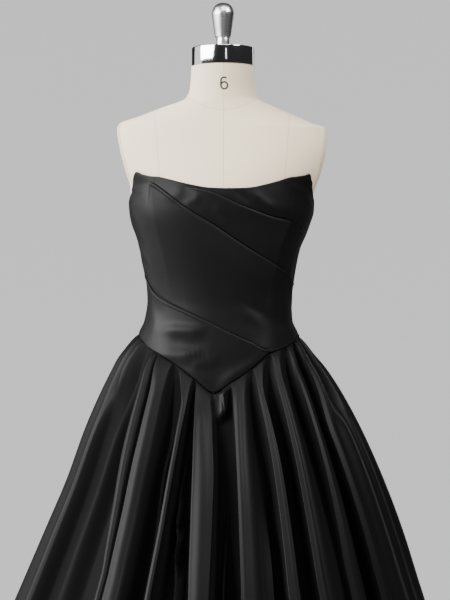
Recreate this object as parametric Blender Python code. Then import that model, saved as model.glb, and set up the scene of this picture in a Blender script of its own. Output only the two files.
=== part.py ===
"""A black strapless ball gown worn by a limbless dress form on a stand.

Metres, +Z up, the origin on the floor under the stand. The front faces -Y.
Angles go round the body from the centre front: negative to the left of the view,
positive to its right, 180 degrees at the centre back.
"""
import math

import bmesh
import bpy
import numpy as np
from mathutils import Vector

# Cloth and seams.
BODICE_WALL = 0.0025
SKIRT_WALL = 0.0020
SEAM_GAP = 0.0003
FORM_CLEARANCE = 0.0019
TUCK_STEP = 0.0018
TUCK_FOLD_HEIGHT = 0.0016
TUCK_REACH = 0.045
TUCK_ROOM = 0.005
TUCK_PULL_OUT = 0.020
EDGE_ROOM = 0.006
TUCK_ROW_PARTS = (0.22, 0.44, 0.62, 0.78, 0.9)
TOP_ROW_PARTS = (0.25, 0.5, 0.75, 1.0)
BACK_ROWS = (1.060, 1.082, 1.105, 1.130, 1.155, 1.178, 1.198, 1.217, 1.236)

# Skirt.
HEM_HEIGHT = 0.010
SKIRT_ROW_SHARES = (0.0, 0.012, 0.035, 0.075, 0.13, 0.21, 0.32, 0.45, 0.60, 0.78, 1.0)
FRONT_FLARE = 1.10
BACK_FLARE = 1.15
LOW_DROP = 0.42
FOLD_TURN = 3.2
BACK_PLEAT_ANGLES = (90, 108, 126, 144, 162)
BACK_CREST_SHIFT = 6
BACK_PLEAT_DEPTH = 0.9
RISE_PLACES = (0.0, 0.33, 0.67)
FALL_PLACES = (1.0, 0.67, 0.33)

# Body of the dress form.
BODY_ROWS = (0.790, 0.815, 0.850, 0.890, 0.930, 0.970, 1.005, 1.036, 1.060, 1.082, 1.105, 1.130,
             1.155, 1.178, 1.198, 1.217, 1.236, 1.256, 1.278, 1.300, 1.322, 1.350, 1.380, 1.406,
             1.4155, 1.430, 1.445, 1.4627, 1.480, 1.5194)
AXIS_X = 0.0036

# Neck cap, knob and stand, radii and heights.
ROUND_SIDES = 32
KNOB_SIDES = 24
CAP_PROFILE = ((0.0, 0.0), (0.0545, 0.0), (0.0560, 0.0015), (0.0560, 0.0300), (0.0545, 0.0325),
               (0.0480, 0.0335), (0.0, 0.0340))
KNOB_PROFILE = ((0.0, 0.0), (0.0117, 0.0), (0.0117, 0.0255), (0.0144, 0.0262), (0.0165, 0.0360),
                (0.0192, 0.0480), (0.0207, 0.0610), (0.0198, 0.0690), (0.0165, 0.0755),
                (0.0095, 0.0797), (0.0, 0.0806))
POLE_RADIUS = 0.016
BASE_PROFILE = ((0.0, 0.0), (0.220, 0.0), (0.220, 0.010), (0.215, 0.014), (0.060, 0.020),
                (0.034, 0.024), (0.030, 0.034), (0.030, 0.060), (0.027, 0.064), (0.0, 0.064))

# Centre back zip.
ZIP_TOP_DROP = 0.012
SLIDER_SIZE = (0.0070, 0.0024, 0.0090)
BAIL_WIDTH = 0.0016
BAIL_LENGTH = 0.0058
BAIL_HEIGHT = 0.0034
BAIL_BAR = 0.0010
PULL_WIDTH = 0.0056
PULL_LENGTH = 0.0240
PULL_THICKNESS = 0.0010
PULL_BAR = 0.0011
PULL_SLOT_WIDTH = 0.0028
PULL_SLOT_LENGTH = 0.0052


class Table:
    """A short table read on a smooth curve through its rows; its first column is the place."""

    def __init__(self, columns, rows):
        self.columns = {name: np.array(values) for name, values in zip(columns, zip(*rows))}
        self.place = self.columns[columns[0]]

    def read(self, name, place):
        values = self.columns[name]
        gaps = np.diff(self.place)
        slopes = np.diff(values) / gaps
        tangents = np.zeros_like(values)
        tangents[0] = slopes[0]
        tangents[-1] = slopes[-1]
        for row in range(1, len(values) - 1):
            before, after = slopes[row - 1], slopes[row]
            if before * after > 0:
                tangents[row] = 2 * before * after / (before + after)
        place = np.clip(np.asarray(place, float), self.place[0], self.place[-1])
        row = np.clip(np.searchsorted(self.place, place, side="right") - 1, 0, len(gaps) - 1)
        part = (place - self.place[row]) / gaps[row]
        start = (2 * part ** 3 - 3 * part ** 2 + 1) * values[row]
        end = (3 * part ** 2 - 2 * part ** 3) * values[row + 1]
        leave = (part ** 3 - 2 * part ** 2 + part) * gaps[row] * tangents[row]
        arrive = (part ** 3 - part ** 2) * gaps[row] * tangents[row + 1]
        return start + end + leave + arrive


# Half sizes of the form at each height. The lens column is how far the curve of the front and
# back would run on past the flat arm plates.
BODY = Table(
    ("height", "left", "right", "front", "back", "power", "lens"),
    (
        (0.7900, 0.1580, 0.1580, 0.1000, 0.1080, 2.30, 0.000),
        (0.8400, 0.1680, 0.1670, 0.1080, 0.1210, 2.30, 0.000),
        (0.9000, 0.1690, 0.1670, 0.1125, 0.1235, 2.30, 0.000),
        (0.9500, 0.1630, 0.1600, 0.1130, 0.1140, 2.30, 0.000),
        (1.0000, 0.1530, 0.1480, 0.1115, 0.1010, 2.30, 0.000),
        (1.0420, 0.1430, 0.1335, 0.1050, 0.0920, 2.30, 0.000),
        (1.0640, 0.1333, 0.1243, 0.1010, 0.0870, 2.30, 0.000),
        (1.1000, 0.1279, 0.1225, 0.0965, 0.0830, 2.35, 0.000),
        (1.1290, 0.1297, 0.1261, 0.0975, 0.0840, 2.40, 0.000),
        (1.1720, 0.1387, 0.1333, 0.1035, 0.0885, 2.45, 0.000),
        (1.1940, 0.1423, 0.1387, 0.1090, 0.0910, 2.45, 0.000),
        (1.2150, 0.1485, 0.1480, 0.1145, 0.0935, 2.40, 0.000),
        (1.2370, 0.1565, 0.1562, 0.1192, 0.0950, 2.35, 0.000),
        (1.2580, 0.1605, 0.1625, 0.1212, 0.0965, 2.30, 0.000),
        (1.2800, 0.1618, 0.1640, 0.1198, 0.0980, 2.25, 0.000),
        (1.3020, 0.1620, 0.1695, 0.1150, 0.1005, 2.20, 0.004),
        (1.3230, 0.1680, 0.1770, 0.1080, 0.1035, 2.20, 0.010),
        (1.3700, 0.1800, 0.1870, 0.0885, 0.1060, 2.20, 0.022),
        (1.4060, 0.1855, 0.1905, 0.0743, 0.0980, 2.20, 0.010),
        (1.4155, 0.1840, 0.1705, 0.0705, 0.0940, 2.20, 0.000),
        (1.4300, 0.1470, 0.1365, 0.0645, 0.0860, 2.15, 0.000),
        (1.4450, 0.1078, 0.1020, 0.0600, 0.0770, 2.10, 0.000),
        (1.4627, 0.0640, 0.0680, 0.0575, 0.0670, 2.00, 0.000),
        (1.4800, 0.0560, 0.0625, 0.0560, 0.0600, 2.00, 0.000),
        (1.5194, 0.0532, 0.0604, 0.0565, 0.0565, 2.00, 0.000),
    ),
)

NECKLINE = Table(
    ("angle", "height"),
    (
        (-180, 1.255), (-135, 1.262), (-105, 1.268), (-90, 1.280), (-78, 1.304), (-69.5, 1.3255),
        (-64, 1.3220), (-54, 1.3146), (-33, 1.3065), (-21, 1.2999), (-10, 1.2952), (3, 1.2939),
        (23.5, 1.2947), (35, 1.3003), (46, 1.3078), (58, 1.3159), (65, 1.3190), (70.5, 1.3228),
        (78, 1.304), (90, 1.280), (105, 1.268), (135, 1.262), (180, 1.255),
    ),
)

WAIST_SEAM = Table(
    ("angle", "height"),
    (
        (-180, 1.044), (-120, 1.042), (-90, 1.0400), (-69, 1.0265), (-62, 1.0166), (-51, 1.0055),
        (-37.5, 0.9880), (-22, 0.9627), (-5.7, 0.9390), (8.5, 0.9562), (26, 0.9808), (41, 1.0075),
        (54, 1.0165), (64, 1.0254), (90, 1.0370), (120, 1.042), (180, 1.044),
    ),
)

# Folded edges of the front tucks. The layer below each edge lies over the one above it, and
# the strength fades where the fold runs out.
TUCKS = (
    Table(
        ("angle", "height", "strength"),
        (
            (-90, 1.160, 0.0), (-79, 1.146, 0.6), (-65, 1.1149, 1.0), (-52, 1.0972, 1.0),
            (-30, 1.0773, 1.0), (-12, 1.0611, 1.0), (10.5, 1.0399, 1.0), (26, 1.0252, 0.9),
            (38, 1.0125, 0.6), (46, 1.0180, 0.0), (90, 1.046, 0.0),
        ),
    ),
    Table(
        ("angle", "height", "strength"),
        (
            (-90, 1.255, 0.0), (-70, 1.290, 0.0), (-54, 1.3060, 0.7), (-42, 1.2869, 1.0),
            (-25, 1.2568, 1.0), (-3, 1.2261, 1.0), (18, 1.1972, 1.0), (47.5, 1.1630, 1.0),
            (62, 1.1472, 0.9), (77, 1.1312, 0.5), (90, 1.120, 0.0),
        ),
    ),
    Table(
        ("angle", "height", "strength"),
        (
            (-90, 1.268, 0.0), (-30, 1.296, 0.0), (-18, 1.2910, 0.6), (-3, 1.2832, 1.0),
            (12.5, 1.2672, 1.0), (24, 1.2568, 1.0), (40, 1.2439, 1.0), (53, 1.2380, 1.0),
            (71, 1.2179, 0.6), (90, 1.205, 0.0),
        ),
    ),
)

# How far the skirt's outline stands out past the waist seam at each drop below it.
FLARE = Table(
    ("drop", "left", "right"),
    (
        (0.000, 0.0000, 0.0000), (0.009, 0.0105, 0.0100), (0.034, 0.0300, 0.0298),
        (0.056, 0.0415, 0.0478), (0.099, 0.0630, 0.0766), (0.164, 0.0920, 0.1124),
        (0.250, 0.1245, 0.1506), (0.337, 0.1620, 0.1828), (0.423, 0.1980, 0.2098),
        (0.479, 0.2215, 0.2278), (0.750, 0.3250, 0.3150), (1.050, 0.4300, 0.4150),
    ),
)

PLEAT_DEPTH = Table(
    ("drop", "depth"),
    ((0.0, 0.0), (0.009, 0.004), (0.034, 0.012), (0.1, 0.022), (0.3, 0.032), (0.6, 0.038),
     (1.05, 0.042)),
)

# Knife pleats across the front, from the left of the view to the right. Each row is a recess
# and the crest of the flute to its right, by their angles at the seam and low down. The depth
# columns say how far the recess goes in, near the seam and low down. The fold edges face the
# centre front.
FRONT_PLEATS = (
    ("recess_seam", "recess_low", "crest_seam", "crest_low", "depth_high", "depth_low"),
    (-72.0, -77.0, -66.5, -70.5, 0.90, 0.40),
    (-64.0, -63.5, -59.5, -52.0, 1.10, 0.95),
    (-57.0, -47.0, -55.0, -38.8, 0.40, 0.70),
    (-53.0, -36.2, -42.5, -33.0, 0.90, 0.40),
    (-38.5, -25.3, -25.5, -20.5, 1.15, 1.05),
    (-22.0, -12.5, -11.0, -7.2, 1.00, 1.00),
    (-5.7, -2.5, 0.5, -0.5, 0.80, 0.30),
    (8.0, 3.0, 12.0, 8.3, 0.95, 1.00),
    (25.8, 14.1, 30.0, 20.5, 0.95, 1.00),
    (40.4, 27.5, 44.5, 30.8, 1.05, 1.05),
    (56.0, 39.3, 59.5, 42.0, 1.00, 1.00),
    (66.6, 49.5, 69.5, 53.5, 1.00, 1.00),
    (73.5, 63.0, 77.5, 69.0, 0.90, 0.40),
)

# The skirt panels meet in these recesses, by their angles at the seam.
SKIRT_PANELS = (
    ("skirt_back_left", -180.0, -108.0),
    ("skirt_side_left", -108.0, -38.5),
    ("skirt_front", -38.5, 40.4),
    ("skirt_side_right", 40.4, 108.0),
    ("skirt_back_right", 108.0, 180.0),
)

# Columns of the bodice and the body, in degrees. Each is moved to the nearest column of the
# skirt, so that all three meet along the seam. The arm plates have their front edges near 78.
RING_ANGLES = (-180, -170, -162, -154, -144, -135, -126, -117, -108, -99, -90, -78, -70, -62, -53,
               -45, -38.5, -30, -22, -14, -5.7, 1, 8, 16, 25.8, 33, 40.4, 48, 56, 63, 70, 78,
               90, 99, 108, 117, 126, 135, 144, 154, 162, 170, 180)


def body_radius(angle, height):
    """Distance from the axis to the covered form at an angle and a height."""
    size = {name: BODY.read(name, height) for name in BODY.columns}
    across, ahead = np.sin(angle), np.cos(angle)
    plate = np.where(across < 0, size["left"], size["right"])
    depth = np.where(ahead > 0, size["front"], size["back"])
    power = size["power"]
    curve = (np.abs(across) / (plate + size["lens"])) ** power + (np.abs(ahead) / depth) ** power
    return np.minimum(curve ** (-1 / power), plate / np.maximum(np.abs(across), 1e-6))


def cloth_radius(angle, height):
    return body_radius(angle, height) + FORM_CLEARANCE + BODICE_WALL


class Seam:
    """The waist seam: straight from one column of the bodice to the next, seen as a chord."""

    def __init__(self, marks):
        self.marks = np.array(marks)
        self.levels = WAIST_SEAM.read("height", self.marks)
        self.reach = cloth_radius(np.radians(self.marks), self.levels)

    def level(self, degrees):
        degrees = (np.asarray(degrees, float) + 180) % 360 - 180
        index = np.clip(np.searchsorted(self.marks, degrees, side="right") - 1, 0,
                        len(self.marks) - 2)
        before = self.reach[index] * np.sin(np.radians(degrees - self.marks[index]))
        after = self.reach[index + 1] * np.sin(np.radians(self.marks[index + 1] - degrees))
        part = before / (before + after)
        return self.levels[index] + (self.levels[index + 1] - self.levels[index]) * part


def point_at(radius, angle, height):
    return np.stack((radius * np.sin(angle), -radius * np.cos(angle), height), axis=-1)


def facing_out(along, down, points):
    """Unit normals from the two directions of a surface, pointing away from the axis."""
    normal = np.cross(along, down)
    normal /= np.linalg.norm(normal, axis=-1, keepdims=True)
    outside = points * (1, 1, 0)
    return normal * np.sign(np.sum(normal * outside, axis=-1, keepdims=True))


def bodice_normal(angle, height, step=1e-4):
    def surface(turn, level):
        return point_at(cloth_radius(turn, level), turn, level)
    along = surface(angle + step, height) - surface(angle - step, height)
    down = surface(angle, height - step) - surface(angle, height + step)
    return facing_out(along, down, surface(angle, height))


def finish_material(name, colour, roughness, metallic=0.0):
    material = bpy.data.materials.new(name)
    material.use_nodes = True
    shader = material.node_tree.nodes["Principled BSDF"]
    shader.inputs["Base Color"].default_value = (*colour, 1.0)
    shader.inputs["Roughness"].default_value = roughness
    shader.inputs["Metallic"].default_value = metallic
    return material


def add_piece(name, shape, material, sharp_degrees=40):
    mesh = bpy.data.meshes.new(name)
    bmesh.ops.recalc_face_normals(shape, faces=shape.faces)
    shape.to_mesh(mesh)
    shape.free()
    mesh.shade_smooth()
    mesh.set_sharp_from_angle(angle=math.radians(sharp_degrees))
    mesh.materials.append(material)
    piece = bpy.data.objects.new(name, mesh)
    bpy.context.scene.collection.objects.link(piece)
    return piece


def add_wall(name, outer, inner, material):
    """A closed cloth wall between two grids of points, each indexed [column][row]."""
    shape = bmesh.new()
    columns, rows = outer.shape[:2]
    face = [[shape.verts.new(point) for point in column] for column in outer]
    back = [[shape.verts.new(point) for point in column] for column in inner]
    for c in range(columns - 1):
        for r in range(rows - 1):
            shape.faces.new((face[c][r], face[c + 1][r], face[c + 1][r + 1], face[c][r + 1]))
            shape.faces.new((back[c][r], back[c][r + 1], back[c + 1][r + 1], back[c + 1][r]))
        for r in (0, rows - 1):
            shape.faces.new((face[c][r], face[c + 1][r], back[c + 1][r], back[c][r]))
    for r in range(rows - 1):
        for c in (0, columns - 1):
            shape.faces.new((face[c][r], face[c][r + 1], back[c][r + 1], back[c][r]))
    return add_piece(name, shape, material)


def add_turned(name, profile, floor, material, sides=ROUND_SIDES):
    """A round piece turned about the form's axis from (radius, height) points."""
    shape = bmesh.new()
    rings = []
    for radius, height in profile:
        if radius == 0.0:
            rings.append([shape.verts.new((AXIS_X, 0, floor + height))])
            continue
        turns = [2 * math.pi * side / sides for side in range(sides)]
        rings.append([shape.verts.new((AXIS_X + radius * math.cos(turn), radius * math.sin(turn),
                                       floor + height)) for turn in turns])
    for low, high in zip(rings, rings[1:]):
        for side in range(sides):
            after = (side + 1) % sides
            corners = [low[side % len(low)], low[after % len(low)], high[after % len(high)],
                       high[side % len(high)]]
            shape.faces.new(list(dict.fromkeys(corners)))
    return add_piece(name, shape, material)


def tuck_rows(angle, bottom):
    """Heights of the mesh rows of the front at an angle, and how far each row is raised."""
    top = float(NECKLINE.read("height", angle))
    wanted = [float(tuck.read("height", angle)) for tuck in TUCKS]
    room = TUCK_FOLD_HEIGHT + TUCK_ROOM
    edges = list(wanted)
    limit = top - EDGE_ROOM
    for index in reversed(range(len(edges))):
        edges[index] = min(edges[index], limit)
        limit = edges[index] - room
    limit = bottom + EDGE_ROOM
    for index in range(len(edges)):
        edges[index] = max(edges[index], limit)
        limit = edges[index] + room
    heights, lifts = [bottom], [0.0]
    for tuck, edge, target in zip(TUCKS, edges, wanted):
        in_place = max(0.0, 1 - abs(edge - target) / TUCK_PULL_OUT)
        lift = TUCK_STEP * in_place * float(tuck.read("strength", angle))
        start = heights[-1]
        for part in TUCK_ROW_PARTS:
            level = start + (edge - start) * part
            heights.append(level)
            lifts.append(lift * max(0.0, 1 - (edge - level) / TUCK_REACH))
        heights += [edge, edge + TUCK_FOLD_HEIGHT]
        lifts += [lift, 0.0]
    start = heights[-1]
    for part in TOP_ROW_PARTS:
        heights.append(start + (top - start) * part)
        lifts.append(0.0)
    return np.array(heights), np.array(lifts)


def plain_rows(angle, bottom):
    """Heights of the mesh rows of the back at an angle, level with those of the body."""
    top = float(NECKLINE.read("height", angle))
    heights = np.array((bottom, *BACK_ROWS, (BACK_ROWS[-1] + top) / 2, top))
    return heights, np.zeros(len(heights))


def add_bodice_panel(name, start, end, seam, rows_at, material):
    """A bodice panel between two angles, with its mesh rows from rows_at."""
    outer, inner = [], []
    angles = [mark for mark in seam.marks if start <= mark <= end]
    for index, degrees in enumerate(angles):
        heights, lifts = rows_at(degrees, float(seam.level(degrees)) + SEAM_GAP)
        turn = np.full(len(heights), math.radians(degrees))
        if index == 0:
            turn += SEAM_GAP / 2 / cloth_radius(turn, heights)
        if index == len(angles) - 1:
            turn -= SEAM_GAP / 2 / cloth_radius(turn, heights)
        normal = bodice_normal(turn, heights)
        normal[(0, -1), 2] = 0.0
        normal /= np.linalg.norm(normal, axis=-1, keepdims=True)
        base = point_at(cloth_radius(turn, heights), turn, heights)
        outer.append(base + normal * lifts[:, None])
        inner.append(base - normal * BODICE_WALL)
    return add_wall(name, np.array(outer), np.array(inner), material)


def pleat_table():
    """All flutes round the skirt: the front rows, and even ones on the hidden back."""
    names = FRONT_PLEATS[0]
    flutes = [dict(zip(names, row)) for row in FRONT_PLEATS[1:]]
    depths = (BACK_PLEAT_DEPTH, BACK_PLEAT_DEPTH)
    for angle in BACK_PLEAT_ANGLES:
        crest = angle + BACK_CREST_SHIFT
        flutes.append(dict(zip(names, (angle, angle, crest, crest, *depths))))
    right_ends = [-angle for angle in BACK_PLEAT_ANGLES[-2::-1]] + [FRONT_PLEATS[1][0]]
    low_ends = [-angle for angle in BACK_PLEAT_ANGLES[-2::-1]] + [FRONT_PLEATS[1][1]]
    for angle, end, low_end in zip(reversed(BACK_PLEAT_ANGLES), right_ends, low_ends):
        crests = (end - BACK_CREST_SHIFT, low_end - BACK_CREST_SHIFT)
        flutes.append(dict(zip(names, (-angle, -angle, *crests, *depths))))
    first_crest = -BACK_PLEAT_ANGLES[-1] - BACK_CREST_SHIFT
    flutes.append(dict(zip(names, (-180.0, -180.0, first_crest, first_crest, *depths))))
    return sorted(flutes, key=lambda flute: flute["recess_seam"])


def skirt_columns(flutes):
    """Mesh columns round the skirt, each with its angles and how much of the recess it takes."""
    columns = []
    for flute, after in zip(flutes, flutes[1:] + flutes[:1]):
        turn = 360.0 if after is flutes[0] else 0.0
        ends = (after["recess_seam"] + turn, after["recess_low"] + turn)
        for places, recess, owner in (
            (RISE_PLACES, (flute["recess_seam"], flute["recess_low"]), flute),
            (FALL_PLACES, ends, after),
        ):
            for part in places:
                seam = recess[0] + (flute["crest_seam"] - recess[0]) * part
                low = recess[1] + (flute["crest_low"] - recess[1]) * part
                columns.append(dict(seam=seam, low=low, dip=1 - math.sin(math.pi / 2 * part),
                                    depth_high=owner["depth_high"], depth_low=owner["depth_low"],
                                    recess=part == 0.0))
    return columns


def flare(angle, drop):
    """How far a crest stands out past the seam at a drop below it."""
    left, right = FLARE.read("left", drop), FLARE.read("right", drop)
    across, ahead = np.sin(angle), np.cos(angle)
    side = left + (right - left) * (0.5 + 0.5 * across)
    gain = np.where(ahead > 0, FRONT_FLARE - 1, BACK_FLARE - 1) * ahead ** 2
    return side * (1 + gain)


def skirt_points(column, waist):
    """Outer points of one mesh column, from the waist seam down to the hem."""
    shares = np.array(SKIRT_ROW_SHARES)
    low_share = 1 - np.exp(-FOLD_TURN * shares / LOW_DROP)
    low_share = np.minimum(low_share / (1 - math.exp(-FOLD_TURN)), 1.0)
    degrees = column["seam"] + (column["low"] - column["seam"]) * low_share
    seam = waist.level(degrees)
    drop = shares * (seam - HEM_HEIGHT)
    angle = np.radians(degrees)
    depth = column["depth_high"] + (column["depth_low"] - column["depth_high"]) * low_share
    radius = cloth_radius(angle, seam) + flare(angle, drop)
    radius = radius - PLEAT_DEPTH.read("depth", drop) * depth * column["dip"]
    return point_at(radius, angle, seam - drop)


def add_skirt(columns, waist, material):
    points = np.array([skirt_points(column, waist) for column in columns])
    along = np.roll(points, -1, axis=0) - np.roll(points, 1, axis=0)
    down = np.gradient(points, axis=1)
    normal = facing_out(along, down, points)
    normal[:, (0, -1), 2] = 0.0
    normal /= np.linalg.norm(normal, axis=-1, keepdims=True)
    inner = points - normal * SKIRT_WALL
    across = points[..., [1, 0, 2]] * (-1, 1, 0)
    across /= np.linalg.norm(across, axis=-1, keepdims=True)
    recesses = {round(column["seam"], 1): index for index, column in enumerate(columns)
                if column["recess"]}
    recesses[180.0] = len(columns)
    for name, start, end in SKIRT_PANELS:
        picked = np.arange(recesses[start], recesses[end] + 1) % len(columns)
        outside, inside, side = points[picked], inner[picked], across[picked]
        for edge, sign in ((0, 1), (-1, -1)):
            outside[edge] += side[edge] * sign * SEAM_GAP / 2
            inside[edge] += side[edge] * sign * SEAM_GAP / 2
        add_wall(name, outside, inside, material)


def add_body(degrees, material):
    """The covered form: rings round the torso, shoulders and neck, closed at both ends."""
    shape = bmesh.new()
    angles = np.radians(degrees)
    rings = []
    for height in BODY_ROWS:
        heights = np.full(len(angles), height)
        points = point_at(body_radius(angles, heights), angles, heights)
        rings.append([shape.verts.new(point) for point in points])
    for low, high in zip(rings, rings[1:]):
        for side in range(len(angles)):
            after = (side + 1) % len(angles)
            shape.faces.new((low[side], low[after], high[after], high[side]))
    shape.faces.new(rings[0])
    shape.faces.new(rings[-1])
    return add_piece("form_body", shape, material)


def box(shape, low, high):
    corners = bmesh.ops.create_cube(shape, size=1.0)["verts"]
    for vertex in corners:
        vertex.co = [low[i] if vertex.co[i] < 0 else high[i] for i in range(3)]


def frame_shape(outline, hole, low, high, flat_axis):
    """A flat bar of metal with one hole: two outlines of equal point counts, extruded."""
    shape = bmesh.new()
    loops = []
    for level in (low, high):
        for outline_points in (outline, hole):
            loop = []
            for first, second in outline_points:
                point = [first, second]
                point.insert(flat_axis, level)
                loop.append(shape.verts.new(point))
            loops.append(loop)
    for index in range(len(outline)):
        after = (index + 1) % len(outline)
        for one, two in ((0, 1), (2, 3), (0, 2), (1, 3)):
            shape.faces.new((loops[one][index], loops[one][after],
                             loops[two][after], loops[two][index]))
    return shape


def zip_place():
    """Where the slider sits: a point on the cloth at the centre back, and its lean."""
    height = float(NECKLINE.read("height", 180.0)) - ZIP_TOP_DROP
    level = np.array([height])
    angle = np.array([math.pi])
    normal = Vector(bodice_normal(angle, level)[0])
    point = Vector(point_at(cloth_radius(angle, level), angle, level)[0])
    lean = math.atan2(normal.z, normal.y)
    return point + normal * SEAM_GAP, lean


def add_zip(material):
    """The slider with its bail, and the pull tab that turns in the bail."""
    seat, lean = zip_place()
    width, depth, height = SLIDER_SIZE
    slider = bmesh.new()
    box(slider, (-width / 2, 0, -height / 2), (width / 2, depth, height / 2))
    slider_piece = add_piece("zip_slider", slider, material)
    inside = BAIL_LENGTH / 2 - BAIL_BAR
    low_edge, top_edge = depth - BAIL_BAR / 2, depth + BAIL_HEIGHT
    half = BAIL_LENGTH / 2
    chamfer = BAIL_BAR * 0.7
    ring = ((low_edge, -half), (top_edge - chamfer, -half), (top_edge, -half + chamfer),
            (top_edge, half - chamfer), (top_edge - chamfer, half), (low_edge, half))
    hole_top = top_edge - BAIL_BAR
    hole = ((low_edge + BAIL_BAR / 4, -inside), (hole_top - chamfer / 2, -inside),
            (hole_top, -inside + chamfer / 2), (hole_top, inside - chamfer / 2),
            (hole_top - chamfer / 2, inside), (low_edge + BAIL_BAR / 4, inside))
    bail = add_piece("bail_shape", frame_shape(ring, hole, -BAIL_WIDTH / 2, BAIL_WIDTH / 2, 0),
                     material)
    bail.hide_render = True
    bail.display_type = "WIRE"
    join = slider_piece.modifiers.new("bail", "BOOLEAN")
    join.operation = "UNION"
    join.object = bail
    slider_piece.location = seat
    bail.parent = slider_piece
    slider_piece.rotation_euler.x = lean

    reach = PULL_LENGTH
    half = PULL_WIDTH / 2
    slot = PULL_SLOT_WIDTH / 2
    top = PULL_BAR / 2
    outline = ((-half + top, top), (half - top, top), (half, -top), (half, -reach + half),
               (half * 0.5, -reach), (-half * 0.5, -reach), (-half, -reach + half), (-half, -top))
    bottom = -top - PULL_SLOT_LENGTH
    opening = ((-slot, -top), (slot, -top), (slot, -top * 2), (slot, bottom * 0.8),
               (slot, bottom), (-slot, bottom), (-slot, bottom * 0.8), (-slot, -top * 2))
    tab = frame_shape(outline, opening, -PULL_THICKNESS / 2, PULL_THICKNESS / 2, 1)
    pull = add_piece("zip_pull", tab, material)
    bar_out = depth + (BAIL_HEIGHT - BAIL_BAR) / 2
    pull.location = seat + Vector((0, math.cos(lean), math.sin(lean))) * bar_out
    pull.rotation_euler.x = lean
    return slider_piece, pull


def main():
    for piece in list(bpy.data.objects):
        bpy.data.objects.remove(piece, do_unlink=True)

    satin = finish_material("black_satin", (0.015, 0.015, 0.016), 0.42)
    linen = finish_material("natural_linen", (0.72, 0.66, 0.58), 0.85)
    chrome = finish_material("polished_chrome", (0.62, 0.63, 0.64), 0.12, 1.0)
    aluminium = finish_material("satin_aluminium", (0.62, 0.62, 0.62), 0.35, 1.0)
    iron = finish_material("black_stand_paint", (0.03, 0.03, 0.03), 0.5)
    zip_metal = finish_material("black_zip_metal", (0.03, 0.03, 0.03), 0.35)

    columns = skirt_columns(pleat_table())
    seam_angles = np.array([column["seam"] for column in columns] + [180.0])
    marks = [float(seam_angles[np.abs(seam_angles - angle).argmin()]) for angle in RING_ANGLES]
    waist = Seam(marks)
    add_bodice_panel("bodice_front", -90, 90, waist, tuck_rows, satin)
    add_bodice_panel("bodice_back_right", 90, 180, waist, plain_rows, satin)
    add_bodice_panel("bodice_back_left", -180, -90, waist, plain_rows, satin)
    add_skirt(columns, waist, satin)
    add_zip(zip_metal)

    add_body(marks[1:], linen)
    cap_floor = BODY_ROWS[-1] + SEAM_GAP
    add_turned("neck_cap", CAP_PROFILE, cap_floor, chrome)
    knob_floor = cap_floor + CAP_PROFILE[-1][1] + SEAM_GAP
    add_turned("neck_knob", KNOB_PROFILE, knob_floor, aluminium, KNOB_SIDES)
    pole_floor = BASE_PROFILE[-1][1] + SEAM_GAP
    pole_top = BODY_ROWS[0] - SEAM_GAP - pole_floor
    pole = ((0.0, 0.0), (POLE_RADIUS, 0.0), (POLE_RADIUS, pole_top), (0.0, pole_top))
    add_turned("stand_pole", pole, pole_floor, chrome, KNOB_SIDES)
    add_turned("stand_base", BASE_PROFILE, 0.0, iron)


if __name__ == "__main__":
    main()
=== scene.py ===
"""Looks of a black strapless ball gown worn by a limbless dress form.

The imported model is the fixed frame. The gown is thin satin shells on the form of its packed
panels: a front with folded tucks, two back panels closed by a zip, and five pleated skirt
panels. The dress form has a linen cover, a chrome neck cap and a turned knob.

Metres, +Z up. The front faces -Y. Angles go round the body from the centre front: negative to
the left of the view, positive to its right, 180 degrees at the centre back.
"""
import math

import bmesh
import bpy
import numpy as np
from bpy.props import FloatProperty, FloatVectorProperty, IntProperty, PointerProperty
from bpy.types import Operator, Panel, PropertyGroup
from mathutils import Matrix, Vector


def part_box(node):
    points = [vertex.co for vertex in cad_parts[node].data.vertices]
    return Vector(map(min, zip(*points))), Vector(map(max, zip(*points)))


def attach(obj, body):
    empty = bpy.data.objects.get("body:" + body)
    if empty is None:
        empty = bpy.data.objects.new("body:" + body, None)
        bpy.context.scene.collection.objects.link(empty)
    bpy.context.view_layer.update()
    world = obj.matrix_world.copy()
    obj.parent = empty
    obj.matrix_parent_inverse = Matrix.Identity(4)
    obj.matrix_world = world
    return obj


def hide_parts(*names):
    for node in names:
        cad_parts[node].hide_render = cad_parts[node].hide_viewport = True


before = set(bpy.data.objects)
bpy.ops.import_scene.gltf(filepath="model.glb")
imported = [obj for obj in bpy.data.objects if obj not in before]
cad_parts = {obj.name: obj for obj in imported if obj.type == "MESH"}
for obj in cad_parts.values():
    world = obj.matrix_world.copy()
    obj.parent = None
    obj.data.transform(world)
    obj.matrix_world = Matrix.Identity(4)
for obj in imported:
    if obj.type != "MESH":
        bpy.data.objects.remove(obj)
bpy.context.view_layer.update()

bl_info = {
    "name": "Ball gown on a dress form",
    "version": (1, 0, 0),
    "blender": (4, 5, 0),
    "location": "3D View > Sidebar > Gown",
    "description": "Satin ball gown with a tucked bodice and a pleated skirt, on a dress form",
    "category": "Add Mesh",
}

GOWN_BODY = "gown_and_form"
# About how far the seams are from the axis, to turn a length round the gown into an angle.
MEAN_RADIUS = 0.13


def even_slope(before, after):
    """The slope where two stretches meet: between theirs, or 0 where they turn."""
    same = before * after > 0
    total = np.where(same, before + after, 1.0)
    return np.where(same, 2 * before * after / total, 0.0)


def curve(part, gap, values, slopes):
    """A cubic across a gap, from its values and slopes at the two ends."""
    start = (2 * part ** 3 - 3 * part ** 2 + 1) * values[0]
    end = (3 * part ** 2 - 2 * part ** 3) * values[1]
    leave = (part ** 3 - 2 * part ** 2 + part) * gap * slopes[0]
    arrive = (part ** 3 - part ** 2) * gap * slopes[1]
    return start + end + leave + arrive


def named_rows(table):
    """The rows of a table whose first row is its column names, as dictionaries."""
    return [dict(zip(table[0], row)) for row in table[1:]]


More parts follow.
